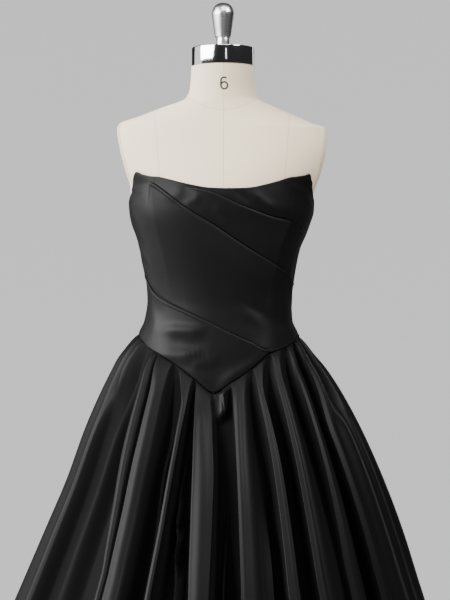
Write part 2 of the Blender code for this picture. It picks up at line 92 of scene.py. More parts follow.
class Table:
    """A short table read on a smooth curve through its rows; its first column is the place."""

    def __init__(self, columns, rows):
        self.columns = {name: np.array(values) for name, values in zip(columns, zip(*rows))}
        self.place = self.columns[columns[0]]

    def read(self, name, place):
        values = self.columns[name]
        gaps = np.diff(self.place)
        slopes = np.diff(values) / gaps
        tangents = np.array([slopes[0], *even_slope(slopes[:-1], slopes[1:]), slopes[-1]])
        place = np.clip(np.asarray(place, float), self.place[0], self.place[-1])
        row = np.clip(np.searchsorted(self.place, place, side="right") - 1, 0, len(gaps) - 1)
        part = (place - self.place[row]) / gaps[row]
        return curve(part, gaps[row], (values[row], values[row + 1]),
                     (tangents[row], tangents[row + 1]))


# Half sizes of the form at each height, as packed.
BODY = Table(
    ("height", "left", "right", "front", "back", "power", "lens"),
    (
        (0.7900, 0.1580, 0.1580, 0.1000, 0.1080, 2.30, 0.000),
        (0.8400, 0.1680, 0.1670, 0.1080, 0.1210, 2.30, 0.000),
        (0.9000, 0.1690, 0.1670, 0.1125, 0.1235, 2.30, 0.000),
        (0.9500, 0.1630, 0.1600, 0.1130, 0.1140, 2.30, 0.000),
        (1.0000, 0.1530, 0.1480, 0.1115, 0.1010, 2.30, 0.000),
        (1.0420, 0.1430, 0.1335, 0.1050, 0.0920, 2.30, 0.000),
        (1.0640, 0.1333, 0.1243, 0.1010, 0.0870, 2.30, 0.000),
        (1.1000, 0.1279, 0.1225, 0.0965, 0.0830, 2.35, 0.000),
        (1.1290, 0.1297, 0.1261, 0.0975, 0.0840, 2.40, 0.000),
        (1.1720, 0.1387, 0.1333, 0.1035, 0.0885, 2.45, 0.000),
        (1.1940, 0.1423, 0.1387, 0.1090, 0.0910, 2.45, 0.000),
        (1.2150, 0.1485, 0.1480, 0.1145, 0.0935, 2.40, 0.000),
        (1.2370, 0.1565, 0.1562, 0.1192, 0.0950, 2.35, 0.000),
        (1.2580, 0.1605, 0.1625, 0.1212, 0.0965, 2.30, 0.000),
        (1.2800, 0.1618, 0.1640, 0.1198, 0.0980, 2.25, 0.000),
        (1.3020, 0.1620, 0.1695, 0.1150, 0.1005, 2.20, 0.004),
        (1.3230, 0.1680, 0.1770, 0.1080, 0.1035, 2.20, 0.010),
        (1.3700, 0.1800, 0.1870, 0.0885, 0.1060, 2.20, 0.022),
        (1.4060, 0.1855, 0.1905, 0.0743, 0.0980, 2.20, 0.010),
        (1.4155, 0.1840, 0.1705, 0.0705, 0.0940, 2.20, 0.000),
        (1.4300, 0.1470, 0.1365, 0.0645, 0.0860, 2.15, 0.000),
        (1.4450, 0.1078, 0.1020, 0.0600, 0.0770, 2.10, 0.000),
        (1.4627, 0.0640, 0.0680, 0.0575, 0.0670, 2.00, 0.000),
        (1.4800, 0.0560, 0.0625, 0.0560, 0.0600, 2.00, 0.000),
        (1.5194, 0.0532, 0.0604, 0.0565, 0.0565, 2.00, 0.000),
    ),
)

# Heights of the neckline and of the waist seam, by angle in degrees.
NECKLINE = Table(
    ("angle", "height"),
    (
        (-180, 1.255), (-135, 1.262), (-105, 1.266), (-90, 1.272), (-80, 1.283), (-73, 1.2985),
        (-68.2, 1.318), (-65.3, 1.3262), (-61, 1.3214), (-54, 1.3172), (-50, 1.3164),
        (-44.5, 1.3134), (-38, 1.3093), (-33, 1.3063), (-21, 1.3002), (-10, 1.2963),
        (3, 1.2951), (15, 1.2954), (23.5, 1.2965), (35, 1.3019), (46, 1.3093), (54, 1.3158),
        (58, 1.3172), (63, 1.3196), (66.6, 1.3226), (68.4, 1.313), (73, 1.297), (81, 1.282),
        (90, 1.272), (105, 1.266), (135, 1.262), (180, 1.255),
    ),
)

WAIST_SEAM = Table(
    ("angle", "height"),
    (
        (-180, 1.044), (-120, 1.042), (-90, 1.0400), (-69, 1.0265), (-62, 1.0166), (-51, 1.0055),
        (-37.5, 0.9880), (-22, 0.9627), (-5.7, 0.9390), (8.5, 0.9562), (26, 0.9808), (41, 1.0075),
        (54, 1.0165), (64, 1.0254), (90, 1.0370), (120, 1.042), (180, 1.044),
    ),
)

# Folded edges of the front tucks, from the lowest up. The layer below an edge lies over the
# one above it, and the strength fades where the fold runs out.
TUCKS = (
    Table(
        ("angle", "height", "strength"),
        (
            (-90, 1.163, 0.0), (-84, 1.152, 0.1), (-77, 1.141, 0.7), (-65, 1.1149, 1.0),
            (-52, 1.0972, 1.0), (-30, 1.0773, 1.0), (-12, 1.0611, 1.0), (10.5, 1.0399, 1.0),
            (26, 1.0252, 1.0), (38, 1.0125, 0.8), (42, 1.0140, 0.0), (90, 1.046, 0.0),
        ),
    ),
    Table(
        ("angle", "height", "strength"),
        (
            (-90, 1.250, 0.0), (-60, 1.304, 0.0), (-56, 1.3070, 0.0), (-54, 1.3054, 0.8),
            (-50, 1.3000, 1.0), (-46, 1.2935, 1.0), (-42, 1.2869, 1.0), (-25, 1.2568, 1.0),
            (-3, 1.2261, 1.0), (18, 1.1972, 1.0), (47.5, 1.1630, 1.0), (62, 1.1472, 0.9),
            (77, 1.1312, 0.7), (86, 1.124, 0.0), (90, 1.120, 0.0),
        ),
    ),
    Table(
        ("angle", "height", "strength"),
        (
            (-90, 1.300, 0.0), (-54, 1.316, 0.0), (-42, 1.309, 0.0), (-30, 1.301, 0.0),
            (-24, 1.2962, 0.4), (-18, 1.2928, 0.9), (-11, 1.2885, 1.0), (-3, 1.2832, 1.0),
            (5, 1.2755, 1.0), (12.5, 1.2672, 1.0), (24, 1.2568, 1.0), (40, 1.2439, 1.0),
            (53, 1.2380, 0.9), (71, 1.2179, 0.45), (80, 1.211, 0.0), (90, 1.205, 0.0),
        ),
    ),
)

# Soft creases of the bodice front: from one end to the other, by angle and height, with the
# half width and the depth. A negative depth is a ridge.
BODICE_CREASES = (
    ("angle", "height", "end_angle", "end_height", "width", "depth"),
    (8, 1.112, 64, 1.047, 0.0060, 0.0016),
    (16, 1.124, 60, 1.074, 0.0110, -0.0016),
    (14, 1.088, 46, 1.050, 0.0100, -0.0016),
    (52, 1.306, 78, 1.262, 0.0032, -0.0024),
    (58, 1.312, 82, 1.276, 0.0024, 0.0020),
    (61, 1.317, 86, 1.287, 0.0030, -0.0022),
    (-56, 1.0490, -10, 1.0440, 0.0085, -0.0040),
    (-50, 1.0260, -8, 1.0160, 0.0090, 0.0019),
    (-60, 1.0080, -8, 0.9960, 0.0100, -0.0024),
    (-72, 1.100, -54, 1.036, 0.0110, -0.0022),
    (-36, 1.0060, -14, 1.0130, 0.0036, -0.0018),
    (-30, 0.9960, -8, 1.0050, 0.0032, 0.0014),
    (-26, 0.9850, 0, 0.9960, 0.0050, -0.0016),
    (-30, 0.9860, -4, 0.9520, 0.0060, -0.0012),
    (-4, 0.9520, 40, 1.0080, 0.0070, -0.0012),
    (-84, 1.238, -60, 1.226, 0.0055, 0.0018),
    (-86, 1.204, -66, 1.172, 0.0050, -0.0018),
    (-84, 1.190, -64, 1.146, 0.0045, 0.0018),
    (-80, 1.222, -66, 1.190, 0.0045, 0.0016),
    (-82, 1.262, -62, 1.274, 0.0070, -0.0018),
    (-80, 1.292, -66, 1.286, 0.0050, 0.0014),
    (70, 1.168, 88, 1.104, 0.0055, 0.0020),
    (66, 1.142, 86, 1.082, 0.0050, -0.0018),
    (-8, 1.266, 8, 1.232, 0.0090, -0.0012),
    (20, 1.292, 44, 1.252, 0.0090, -0.0018),
    (8, 1.294, 26, 1.268, 0.0070, 0.0012),
    (-42, 1.268, -28, 1.300, 0.0110, -0.0014),
    (-30, 1.262, -14, 1.282, 0.0080, -0.0012),
)

# Angles of the princess seams of the bodice front at each height.
PRINCESS = Table(
    ("height", "left", "right"),
    ((0.98, -45.0, 40.0), (1.065, -47.5, 44.0), (1.158, -49.0, 49.0), (1.244, -51.0, 53.0),
     (1.314, -54.0, 57.0)),
)

# How far the skirt's outline stands out past the waist seam at each drop below it.
FLARE = Table(
    ("drop", "left", "right"),
    (
        (0.000, 0.0000, 0.0000), (0.009, 0.0105, 0.0100), (0.034, 0.0300, 0.0298),
        (0.056, 0.0415, 0.0478), (0.099, 0.0630, 0.0766), (0.164, 0.0920, 0.1124),
        (0.250, 0.1245, 0.1506), (0.337, 0.1620, 0.1828), (0.423, 0.1980, 0.2098),
        (0.479, 0.2215, 0.2278), (0.750, 0.3250, 0.3150), (1.050, 0.4300, 0.4150),
    ),
)

# How much further it stands out in the middle of the front and of the back, as a share.
FRONT_FULLNESS = 0.10
BACK_FULLNESS = 0.15

# How far a recess between two folds goes in at each drop.
FOLD_DEPTH = Table(
    ("drop", "depth"),
    ((0.0, 0.0), (0.006, 0.0075), (0.02, 0.0155), (0.05, 0.0255), (0.1, 0.037), (0.2, 0.047),
     (0.35, 0.054), (0.6, 0.058), (1.05, 0.062)),
)

# Lines down the skirt across the front, from the left of the view to the right: the foot of a
# recess, or a shoulder of a fold. Each has its angle at four drops, and its height between the
# full depth, 0, and the outside of the folds, 1, at three.
LINE_DROPS = (0.0, 0.05, 0.15, 0.35)
FRONT_LINES = (
    ("seam", "high", "mid", "low", "rise_high", "rise_mid", "rise_low"),
    (-90.0, -90.0, -90.0, -90.0, 0.00, 0.05, 0.10),
    (-86.0, -84.5, -83.5, -82.0, 1.00, 1.00, 1.00),
    (-78.0, -75.5, -72.0, -70.5, 1.00, 1.00, 1.00),
    (-72.4, -71.8, -70.2, -69.0, 0.60, 0.92, 0.88),
    (-70.6, -69.8, -68.4, -67.6, 0.92, 0.44, 0.34),
    (-67.6, -66.8, -65.4, -64.8, 0.55, 0.22, 0.14),
    (-62.4, -61.4, -59.4, -58.8, -0.15, 0.06, 0.10),
    (-60.6, -59.6, -57.2, -57.0, 0.25, 0.66, 0.66),
    (-59.4, -58.4, -56.2, -56.0, 0.28, 0.66, 0.66),
    (-57.8, -54.6, -52.4, -51.6, 0.15, 0.18, 0.14),
    (-57.0, -53.6, -49.8, -46.6, 0.18, 0.18, 0.16),
    (-56.2, -51.6, -47.2, -40.5, 0.00, 0.00, 0.00),
    (-55.2, -50.6, -46.2, -39.6, 1.00, 1.00, 1.00),
    (-53.6, -48.1, -43.4, -38.4, 0.97, 0.97, 0.97),
    (-51.6, -45.6, -41.2, -37.7, 0.00, 0.60, 0.90),
    (-50.2, -43.6, -39.8, -37.0, 1.00, 1.00, 1.00),
    (-40.0, -37.0, -34.0, -32.4, 0.96, 0.94, 0.94),
    (-38.5, -34.4, -30.6, -29.0, -0.10, -0.05, 0.00),
    (-37.6, -26.6, -24.6, -24.8, -0.10, -0.05, 0.00),
    (-31.0, -24.2, -23.0, -23.4, 1.00, 1.00, 1.00),
    (-23.2, -21.6, -21.2, -22.0, 1.00, 1.00, 1.00),
    (-22.0, -20.6, -20.0, -20.6, 0.00, 0.00, 0.00),
    (-21.4, -18.4, -14.6, -11.6, 0.00, -0.05, 0.00),
    (-19.0, -15.9, -12.6, -9.8, 1.00, 1.00, 1.00),
    (-9.5, -5.8, -3.4, -4.0, 0.98, 0.98, 0.98),
    (-6.0, -2.2, -0.6, -1.4, 0.05, -0.05, -0.05),
    (1.0, 3.0, 3.6, 3.0, 0.00, -0.15, -0.15),
    (7.6, 8.4, 9.0, 8.6, -0.10, -0.10, -0.05),
    (9.0, 7.8, 7.0, 6.3, 1.00, 1.00, 1.00),
    (16.0, 12.4, 10.0, 9.2, 0.97, 0.97, 0.97),
    (25.6, 24.6, 24.6, 22.6, -0.10, -0.05, 0.00),
    (26.4, 23.5, 22.4, 20.4, 1.00, 1.00, 1.00),
    (29.6, 26.4, 25.8, 23.8, 0.97, 0.97, 0.97),
    (38.0, 30.8, 29.2, 27.0, 0.10, 0.00, 0.00),
    (40.4, 36.4, 35.6, 33.0, -0.10, -0.10, -0.05),
    (41.4, 34.8, 32.0, 29.5, 1.00, 1.00, 1.00),
    (44.5, 37.9, 35.1, 32.6, 0.98, 0.97, 0.97),
    (55.4, 49.6, 46.4, 42.4, -0.05, 0.10, 0.50),
    (56.4, 48.6, 44.4, 41.0, 0.98, 0.92, 0.80),
    (58.6, 51.4, 47.2, 44.6, 0.97, 0.92, 0.84),
    (66.2, 62.0, 55.0, 54.0, -0.05, 0.00, 0.05),
    (66.8, 59.4, 51.4, 50.4, 1.00, 1.00, 1.00),
    (70.5, 64.5, 56.5, 55.5, 1.00, 1.00, 1.00),
    (76.0, 72.0, 68.0, 66.0, 0.10, 0.88, 0.96),
    (77.6, 74.5, 72.0, 71.0, 1.00, 1.00, 1.00),
    (82.0, 81.0, 80.0, 80.0, 1.00, 1.00, 1.00),
)

# Thin secondary ridges that come out inside the recesses, and the puff under the V: angles at
# a middle and a low drop, where it comes out and fades, its height and its half width.
RIDGELETS = (
    ("angle_mid", "angle_low", "starts", "full", "fades", "gone", "height", "width"),
    (-19.0, -16.0, 0.10, 0.24, 2.0, 3.0, 0.034, 0.9),
    (19.6, 17.2, 0.11, 0.24, 2.0, 3.0, 0.037, 0.8),
    (-29.4, -27.0, 0.09, 0.18, 2.0, 3.0, 0.011, 1.1),
    (4.2, 0.9, 0.19, 0.32, 2.0, 3.0, 0.035, 0.7),
    (0.6, 0.6, 0.0, 0.006, 0.034, 0.062, 0.0200, 5.0),
    (38.3, 36.2, 0.12, 0.24, 2.0, 3.0, 0.005, 1.0),
    (47.4, 46.6, 0.24, 0.36, 2.0, 3.0, 0.006, 1.1),
    (57.4, 58.0, 0.18, 0.28, 2.0, 3.0, 0.005, 1.2),
)

# Angles of the recesses of the even back pleats. Those in KEPT_RECESSES are not moved.
BACK_RECESSES = (90.0, 108.0, 126.0, 144.0, 162.0)
KEPT_RECESSES = (90.0, 108.0, 180.0, 252.0)

# Which panel covers which stretch of the waist seam, and its cut laid flat.
SKIRT_PANELS = (
    ("name", "start", "end", "width", "length", "area"),
    ("skirt_back_left", -180.0, -108.0, 0.99, 1.10, 0.76),
    ("skirt_side_left", -108.0, -38.5, 1.00, 1.08, 0.77),
    ("skirt_front", -38.5, 40.4, 1.03, 1.02, 0.76),
    ("skirt_side_right", 40.4, 108.0, 1.06, 1.08, 0.81),
    ("skirt_back_right", 108.0, 180.0, 1.01, 1.10, 0.77),
)


class GownSizes(PropertyGroup):
    """Sizes of the cloth shells and their sewing."""

    cloth: FloatProperty(name="Cloth", description="Thickness of the satin with its backing",
                         default=0.0016, unit="LENGTH")
    clearance: FloatProperty(name="Clearance", description="Space from the form to the cloth",
                             default=0.0019, unit="LENGTH")
    bodice_wall: FloatProperty(name="Bodice wall", description="Thickness of the packed bodice",
                               default=0.0025, unit="LENGTH")
    seam_gap: FloatProperty(name="Seam gap", description="Space between two sewn pieces",
                            default=0.0003, unit="LENGTH")
    seam_roll: FloatProperty(name="Seam roll", description="How far an edge turns in at a seam",
                             default=0.0018, unit="LENGTH")
    tuck_step: FloatProperty(name="Tuck step", description="Height of a folded tuck edge",
                             default=0.0036, unit="LENGTH")
    tuck_reach: FloatProperty(name="Tuck reach", description="How far a tuck lifts the cloth",
                              default=0.045, unit="LENGTH")
    hem_height: FloatProperty(name="Hem height", description="Hem above the floor",
                              default=0.010, unit="LENGTH")
    stitch: FloatProperty(name="Stitch", description="Length of one stitch",
                          default=0.0030, unit="LENGTH")
    tooth_pitch: FloatProperty(name="Tooth pitch", description="From one zip tooth to the next",
                               default=0.0020, unit="LENGTH")


class FormSizes(PropertyGroup):
    """Sizes of the fittings and the printed size of the dress form."""

    digit_height: FloatProperty(name="Digit height", description="Height of the printed size",
                                default=0.0236, unit="LENGTH")
    digit_width: FloatProperty(name="Digit width", description="Width of the printed size",
                               default=0.0146, unit="LENGTH")
    digit_stroke: FloatProperty(name="Digit stroke", description="Width of the printed line",
                                default=0.0029, unit="LENGTH")
    turned_sides: IntProperty(name="Turned sides", description="Facets round a turned piece",
                              default=160, min=24)


class FinishColours(PropertyGroup):
    """Colours of the finishes."""

    satin: FloatVectorProperty(name="Satin", description="Colour of the satin",
                               default=(0.0020, 0.0020, 0.0021), subtype="COLOR")
    linen: FloatVectorProperty(name="Linen", description="Colour of the linen cover",
                               default=(0.84, 0.70, 0.51), subtype="COLOR")
    ink: FloatVectorProperty(name="Ink", description="Colour of the printed size",
                             default=(0.010, 0.010, 0.011), subtype="COLOR")
    chrome: FloatVectorProperty(name="Chrome", description="Colour of the polished metal",
                                default=(0.78, 0.79, 0.80), subtype="COLOR")
    knob: FloatVectorProperty(name="Knob", description="Colour of the satin metal",
                              default=(0.66, 0.66, 0.67), subtype="COLOR")
    paint: FloatVectorProperty(name="Paint", description="Colour of the painted foot",
                               default=(0.02, 0.02, 0.021), subtype="COLOR")
    backdrop: FloatVectorProperty(name="Backdrop", description="Colour of the studio wall",
                                  default=(0.84, 0.84, 0.85), subtype="COLOR")


class StudioSizes(PropertyGroup):
    """The camera's place and the lights' strength."""

    camera_x: FloatProperty(name="Camera X", description="Camera to the right of the middle",
                            default=0.0072, unit="LENGTH")
    camera_distance: FloatProperty(name="Camera distance", description="Camera to the form",
                                   default=3.4, unit="LENGTH")
    camera_height: FloatProperty(name="Camera height", description="Camera above the floor",
                                 default=1.10, unit="LENGTH")
    frame_height: FloatProperty(name="Frame height", description="Height seen at the form",
                                default=1.08, unit="LENGTH")
    key_watts: FloatProperty(name="Key light", description="Power of the main light",
                             default=420.0, unit="POWER")
    fill_watts: FloatProperty(name="Fill light", description="Power of the front light",
                              default=80.0, unit="POWER")
    wall_watts: FloatProperty(name="Wall light", description="Power of the left wall",
                              default=24.0, unit="POWER")
    room_glow: FloatProperty(name="Room glow", description="Strength of the even room light",
                             default=0.03)


def gown_sizes():
    return bpy.context.scene.gown_sizes


def form_sizes():
    return bpy.context.scene.form_sizes


def colours():
    return bpy.context.scene.finish_colours


def studio_sizes():
    return bpy.context.scene.studio_sizes


def place(radius, angle, height):
    """Points from a distance from the axis, an angle in radians and a height."""
    return np.stack((radius * np.sin(angle), -radius * np.cos(angle), height), axis=-1)


def body_radius(angle, height):
    """Distance from the axis to the form, whose arm sides are flat plates."""
    size = {name: BODY.read(name, height) for name in BODY.columns}
    across, ahead = np.sin(angle), np.cos(angle)
    plate = np.where(across < 0, size["left"], size["right"])
    depth = np.where(ahead > 0, size["front"], size["back"])
    power = size["power"]
    total = (np.abs(across) / (plate + size["lens"])) ** power + (np.abs(ahead) / depth) ** power
    return np.minimum(total ** (-1 / power), plate / np.maximum(np.abs(across), 1e-6))


def cloth_radius(angle, height):
    """Distance from the axis to the outside of the bodice."""
    sizes = gown_sizes()
    return body_radius(angle, height) + sizes.clearance + sizes.bodice_wall


def smooth_step(low, high, value):
    part = np.clip((value - low) / (np.asarray(high) - low), 0.0, 1.0)
    return part * part * (3 - 2 * part)


def sheet_object(name, points, material, thickness, closed=False, masks=None):
    """A grid of cloth points, indexed [column][row] with rows running up, as a thin shell."""
    columns, rows = points.shape[:2]
    index = np.arange(columns * rows).reshape(columns, rows)
    after = np.roll(index, -1, axis=0) if closed else index[1:]
    here = index if closed else index[:-1]
    faces = np.stack((here[:, :-1], after[:, :-1], after[:, 1:], here[:, 1:]), axis=-1)
    mesh = bpy.data.meshes.new(name)
    mesh.from_pydata(points.reshape(-1, 3).tolist(), [], faces.reshape(-1, 4).tolist())
    steps_along = np.linalg.norm(np.diff(points, axis=0), axis=-1)
    steps_up = np.linalg.norm(np.diff(points, axis=1), axis=-1)
    flat = np.zeros((columns, rows, 2))
    flat[1:, :, 0] = np.cumsum(steps_along.mean(axis=1, keepdims=True), axis=0)
    flat[:, 1:, 1] = np.cumsum(steps_up.mean(axis=0, keepdims=True), axis=1)
    weave = mesh.uv_layers.new(name="weave")
    corners = np.zeros(len(mesh.loops), np.int32)
    mesh.loops.foreach_get("vertex_index", corners)
    weave.data.foreach_set("uv", flat.reshape(-1, 2)[corners].astype(np.float32).ravel())
    for mask, values in (masks or {}).items():
        layer = mesh.attributes.new(mask, "FLOAT", "POINT")
        layer.data.foreach_set("value", values.astype(np.float32).ravel())
    piece = settled(name, mesh, material)
    if thickness:
        shell = piece.modifiers.new("cloth", "SOLIDIFY")
        shell.thickness = thickness
        shell.offset = -1
    return piece


def mesh_object(name, shape, material, sharp_degrees=35):
    """An object from a bmesh, smooth apart from its sharp edges."""
    mesh = bpy.data.meshes.new(name)
    bmesh.ops.recalc_face_normals(shape, faces=shape.faces)
    shape.to_mesh(mesh)
    shape.free()
    piece = settled(name, mesh, material)
    mesh.set_sharp_from_angle(angle=math.radians(sharp_degrees))
    return piece


def settled(name, mesh, material):
    """A smooth object of a mesh, on the gown's body, with its finish and material slot."""
    mesh.shade_smooth()
    mesh.materials.append(material)
    piece = bpy.data.objects.new(name, mesh)
    bpy.context.scene.collection.objects.link(piece)
    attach(piece, GOWN_BODY)
    return piece


def dress_node(node, material):
    """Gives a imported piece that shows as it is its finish."""
    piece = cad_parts[node]
    piece.data.materials.clear()
    piece.data.materials.append(material)


class Value:
    """A number socket in a material, so that shader maths reads as Python."""

    def __init__(self, finish, socket):
        self.finish = finish
        self.socket = socket

    def maths(self, operation, *others, clamp=False):
        settings = {"operation": operation, "use_clamp": clamp}
        return self.finish.add("ShaderNodeMath", settings, (self, *others))

    def __add__(self, other):
        return self.maths("ADD", other)

    __radd__ = __add__

    def __mul__(self, other):
        return self.maths("MULTIPLY", other)

    __rmul__ = __mul__

    def __sub__(self, other):
        return self.maths("SUBTRACT", other)

    def __rsub__(self, other):
        return self.finish.add("ShaderNodeMath", {"operation": "SUBTRACT"}, (other, self))

    def __abs__(self):
        return self.maths("ABSOLUTE")


class Finish:
    """A material being made: one method adds any node, and the shader's sockets are set last."""

    def __init__(self, name):
        self.material = bpy.data.materials.new(name)
        self.material.use_nodes = True
        self.tree = self.material.node_tree
        self.shader = self.tree.nodes["Principled BSDF"]

    def feed(self, socket, value):
        if isinstance(value, Value):
            self.tree.links.new(value.socket, socket)
        elif socket.type == "RGBA" and len(value) == 3:
            socket.default_value = (*value, 1.0)
        else:
            socket.default_value = value

    def add(self, kind, settings=None, inputs=(), output=0):
        """A node of a kind: its settings are made first, then its inputs by place or by name.
        With None for the output, it gives all of them."""
        node = self.tree.nodes.new(kind)
        for name, setting in (settings or {}).items():
            setattr(node, name, setting)
        named = inputs.items() if isinstance(inputs, dict) else enumerate(inputs)
        for key, value in named:
            self.feed(node.inputs[key], value)
        if output is None:
            return [Value(self, socket) for socket in node.outputs]
        return Value(self, node.outputs[output])

    def blend(self, factor, first, second):
        """A colour between two colours."""
        inputs = {"Factor": factor, 6: first, 7: second}
        return self.add("ShaderNodeMix", {"data_type": "RGBA"}, inputs, 2)

    def whole_place(self):
        """The place on the whole object, in metres."""
        return self.add("ShaderNodeTexCoord", None, (), "Object")

    def axes(self, place_on):
        """The three numbers of a place."""
        return self.add("ShaderNodeSeparateXYZ", None, (place_on,), None)

    def mask(self, name):
        """A number that the mesh carries at each vertex."""
        return self.add("ShaderNodeAttribute", {"attribute_name": name}, (), "Fac")

    def noise(self, place_on, scale, detail=3.0, roughness=0.5):
        inputs = {"Vector": place_on, "Scale": scale, "Detail": detail, "Roughness": roughness}
        return self.add("ShaderNodeTexNoise", None, inputs)

    def bump(self, height, distance, strength, under=None):
        """Relief, which may lie on a finer one."""
        inputs = {"Height": height, "Distance": distance, "Strength": strength}
        if under is not None:
            inputs["Normal"] = under
        return self.add("ShaderNodeBump", None, inputs)

    def stretch(self, place_on, across, along, third=1.0):
        """Coordinates stretched so that a noise on them is drawn out."""
        settings = {"operation": "MULTIPLY"}
        return self.add("ShaderNodeVectorMath", settings, (place_on, (across, along, third)))

    def set(self, values):
        for name, value in values.items():
            self.feed(self.shader.inputs[name], value)
        return self.material


def weave_places(finish):
    """The flat place on the cloth, in metres, and the place on the whole object."""
    flat = finish.add("ShaderNodeUVMap", {"uv_map": "weave"})
    return flat, finish.whole_place()


def scaled(tone, share):
    """A colour made lighter or darker."""
    return tuple(channel * share for channel in tone)


def satin_finish(name, painted_light_masks=False):
    """Black duchess satin: long floats across the weave, a soft sheen and slight unevenness.

    With its masks, painted highlight makes the colour lighter and a little glossier, and painted
    shade makes it darker and rougher."""
    finish = Finish(name)
    flat, whole = weave_places(finish)
    tone = tuple(colours().satin)
    floats = finish.noise(finish.stretch(flat, 5200.0, 900.0), 1.0, 2.0)
    slub = finish.noise(finish.stretch(flat, 900.0, 60.0), 1.0, 2.0)
    ripple = finish.noise(whole, 42.0, 3.0, 0.55)
    cloud = finish.noise(whole, 7.0, 2.0, 0.5)
    colour = finish.blend(cloud, tone, scaled(tone, 1.35))
    roughness = 0.50 + (cloud - 0.5) * 0.06 + (floats - 0.5) * 0.05
    if painted_light_masks:
        # Painted highlight: a lighter colour where the light falls. Painted shade: a darker
        # colour where shade falls.
        lit = finish.mask("lit_grain")
        dull_and_shaded = finish.mask("dull_grain")
        roughness = roughness + dull_and_shaded * 0.30 - lit * 0.08
        colour = finish.blend(lit, colour, scaled(tone, 3.6))
        colour = finish.blend(dull_and_shaded, colour, scaled(tone, 0.30))
    threads = finish.bump(floats * 0.6 + slub * 0.4, 0.00006, 0.5)
    surface = finish.bump(ripple, 0.0009, 0.2, threads)
    return finish.set({
        "Base Color": colour, "Roughness": roughness, "Normal": surface,
        "Specular IOR Level": 0.14, "Sheen Weight": 0.008, "Sheen Roughness": 0.5,
    })


# Lines drawn on the linen cover: half the width of a fine and of a broad one; the place across
# of the middle seam; the place across at the floor and the lean of the two seams that run in to
# the neck; the middle, the height and the bend of the seam round the neck; the height up to
# which the leaning seams run; the band round the arm plate, which is painted darker as shade on
# the front; and how fast the front fades in.
FINE_LINE = 0.0008
BROAD_LINE = 0.0009
MIDDLE_SEAM = 0.0053
LEANING_SEAMS = ((0.0149, -0.0926), (0.0010, 0.085))
NECK_SEAM = (0.0045, 1.4360, 6.4)
SHOULDER_HEIGHT = 1.432
ARM_BAND = 0.0050
FRONT_FADE = -400.0


def groove(place_axis, centre, half_width):
    """1 on a line and 0 away from it, for a seam drawn on a cover."""
    return (abs(place_axis - centre) * (-1.0 / half_width) + 1.0).maths("MAXIMUM", 0.0)


def linen_finish():
    """Natural linen cover: plain weave, slubs, and the sunk seams of its panels."""
    finish = Finish("natural_linen")
    flat, whole = weave_places(finish)
    x, y, z = finish.axes(whole)
    warp = finish.noise(finish.stretch(flat, 2600.0, 240.0), 1.0, 2.0)
    weft = finish.noise(finish.stretch(flat, 240.0, 2600.0), 1.0, 2.0)
    slub = finish.noise(finish.stretch(flat, 420.0, 36.0), 1.0, 3.0)
    cloud = finish.noise(whole, 9.0, 3.0, 0.55)
    front = (y * FRONT_FADE).maths("MINIMUM", 1.0).maths("MAXIMUM", 0.0)
    seams = groove(x, MIDDLE_SEAM, FINE_LINE) * (z - 1.0).maths("GREATER_THAN", 0.0)
    torso = z.maths("LESS_THAN", SHOULDER_HEIGHT)
    for start, lean in LEANING_SEAMS:
        line = groove(x - (z * lean + start), 0.0, FINE_LINE)
        seams = seams.maths("MAXIMUM", line * torso)
    middle, lowest, bend = NECK_SEAM
    aside = x - middle
    seams = seams.maths("MAXIMUM", groove(z, aside * aside * bend + lowest, BROAD_LINE))
    seams = seams * front
    tone = tuple(colours().linen)
    colour = finish.blend(cloud * 0.5 + slub * 0.5, scaled(tone, 0.93), tone)
    edge = finish.mask("from_plate")
    # Painted shade: the band round the arm plate is darkened on the front, where the plate's edge
    # turns from the light.
    band = edge.maths("LESS_THAN", ARM_BAND) * (y * FRONT_FADE).maths("ADD", 14.0, clamp=True)
    colour = finish.blend(band * 0.6, colour, scaled(tone, 0.66))
    seams = seams.maths("MAXIMUM", groove(edge, ARM_BAND, BROAD_LINE))
    seam_tone = (tone[0] * 0.62, tone[1] * 0.58, tone[2] * 0.52)
    colour = finish.blend(seams * 0.55, colour, seam_tone)
    threads = finish.bump(warp * 0.5 + weft * 0.5 + slub * 0.4, 0.00012, 0.55)
    surface = finish.bump(1.0 - seams, 0.0006, 0.8, threads)
    roughness = 0.84 + (slub - 0.5) * 0.1
    return finish.set({
        "Base Color": colour, "Roughness": roughness, "Normal": surface,
        "Specular IOR Level": 0.25, "Sheen Weight": 0.12, "Sheen Roughness": 0.5,
    })


def metal_finish(name, tone, roughness, scratch_scale, depth):
    """Turned metal with fine marks round it."""
    finish = Finish(name)
    whole = finish.whole_place()
    marks = finish.noise(finish.stretch(whole, 30.0, 30.0, scratch_scale), 1.0, 2.0)
    cloud = finish.noise(whole, 24.0, 2.0)
    shade = roughness + (marks - 0.5) * (roughness * 0.5) + (cloud - 0.5) * 0.03
    colour = finish.blend(cloud, scaled(tone, 0.94), tone)
    surface = finish.bump(marks, depth, 0.35)
    return finish.set({
        "Base Color": colour, "Roughness": shade, "Normal": surface, "Metallic": 1.0,
    })


def paint_finish(name, tone, roughness, grain):
    """Paint or enamel with a fine orange peel."""
    finish = Finish(name)
    whole = finish.whole_place()
    peel = finish.noise(whole, grain, 3.0)
    wear = finish.noise(whole, 40.0, 4.0)
    colour = finish.blend(wear, tone, scaled(tone, 1.6))
    shade = roughness + (wear - 0.5) * 0.12
    surface = finish.bump(peel, 0.00005, 0.4)
    return finish.set({"Base Color": colour, "Roughness": shade, "Normal": surface})


def ink_finish():
    """Printed ink that has sunk unevenly into linen."""
    finish = Finish("printed_ink")
    whole = finish.whole_place()
    fibre = finish.noise(whole, 1800.0, 3.0)
    tone = tuple(colours().ink)
    colour = finish.blend(fibre * 0.5, tone, scaled(tone, 3.0))
    surface = finish.bump(fibre, 0.00006, 0.5)
    return finish.set({"Base Color": colour, "Roughness": 0.7, "Normal": surface})


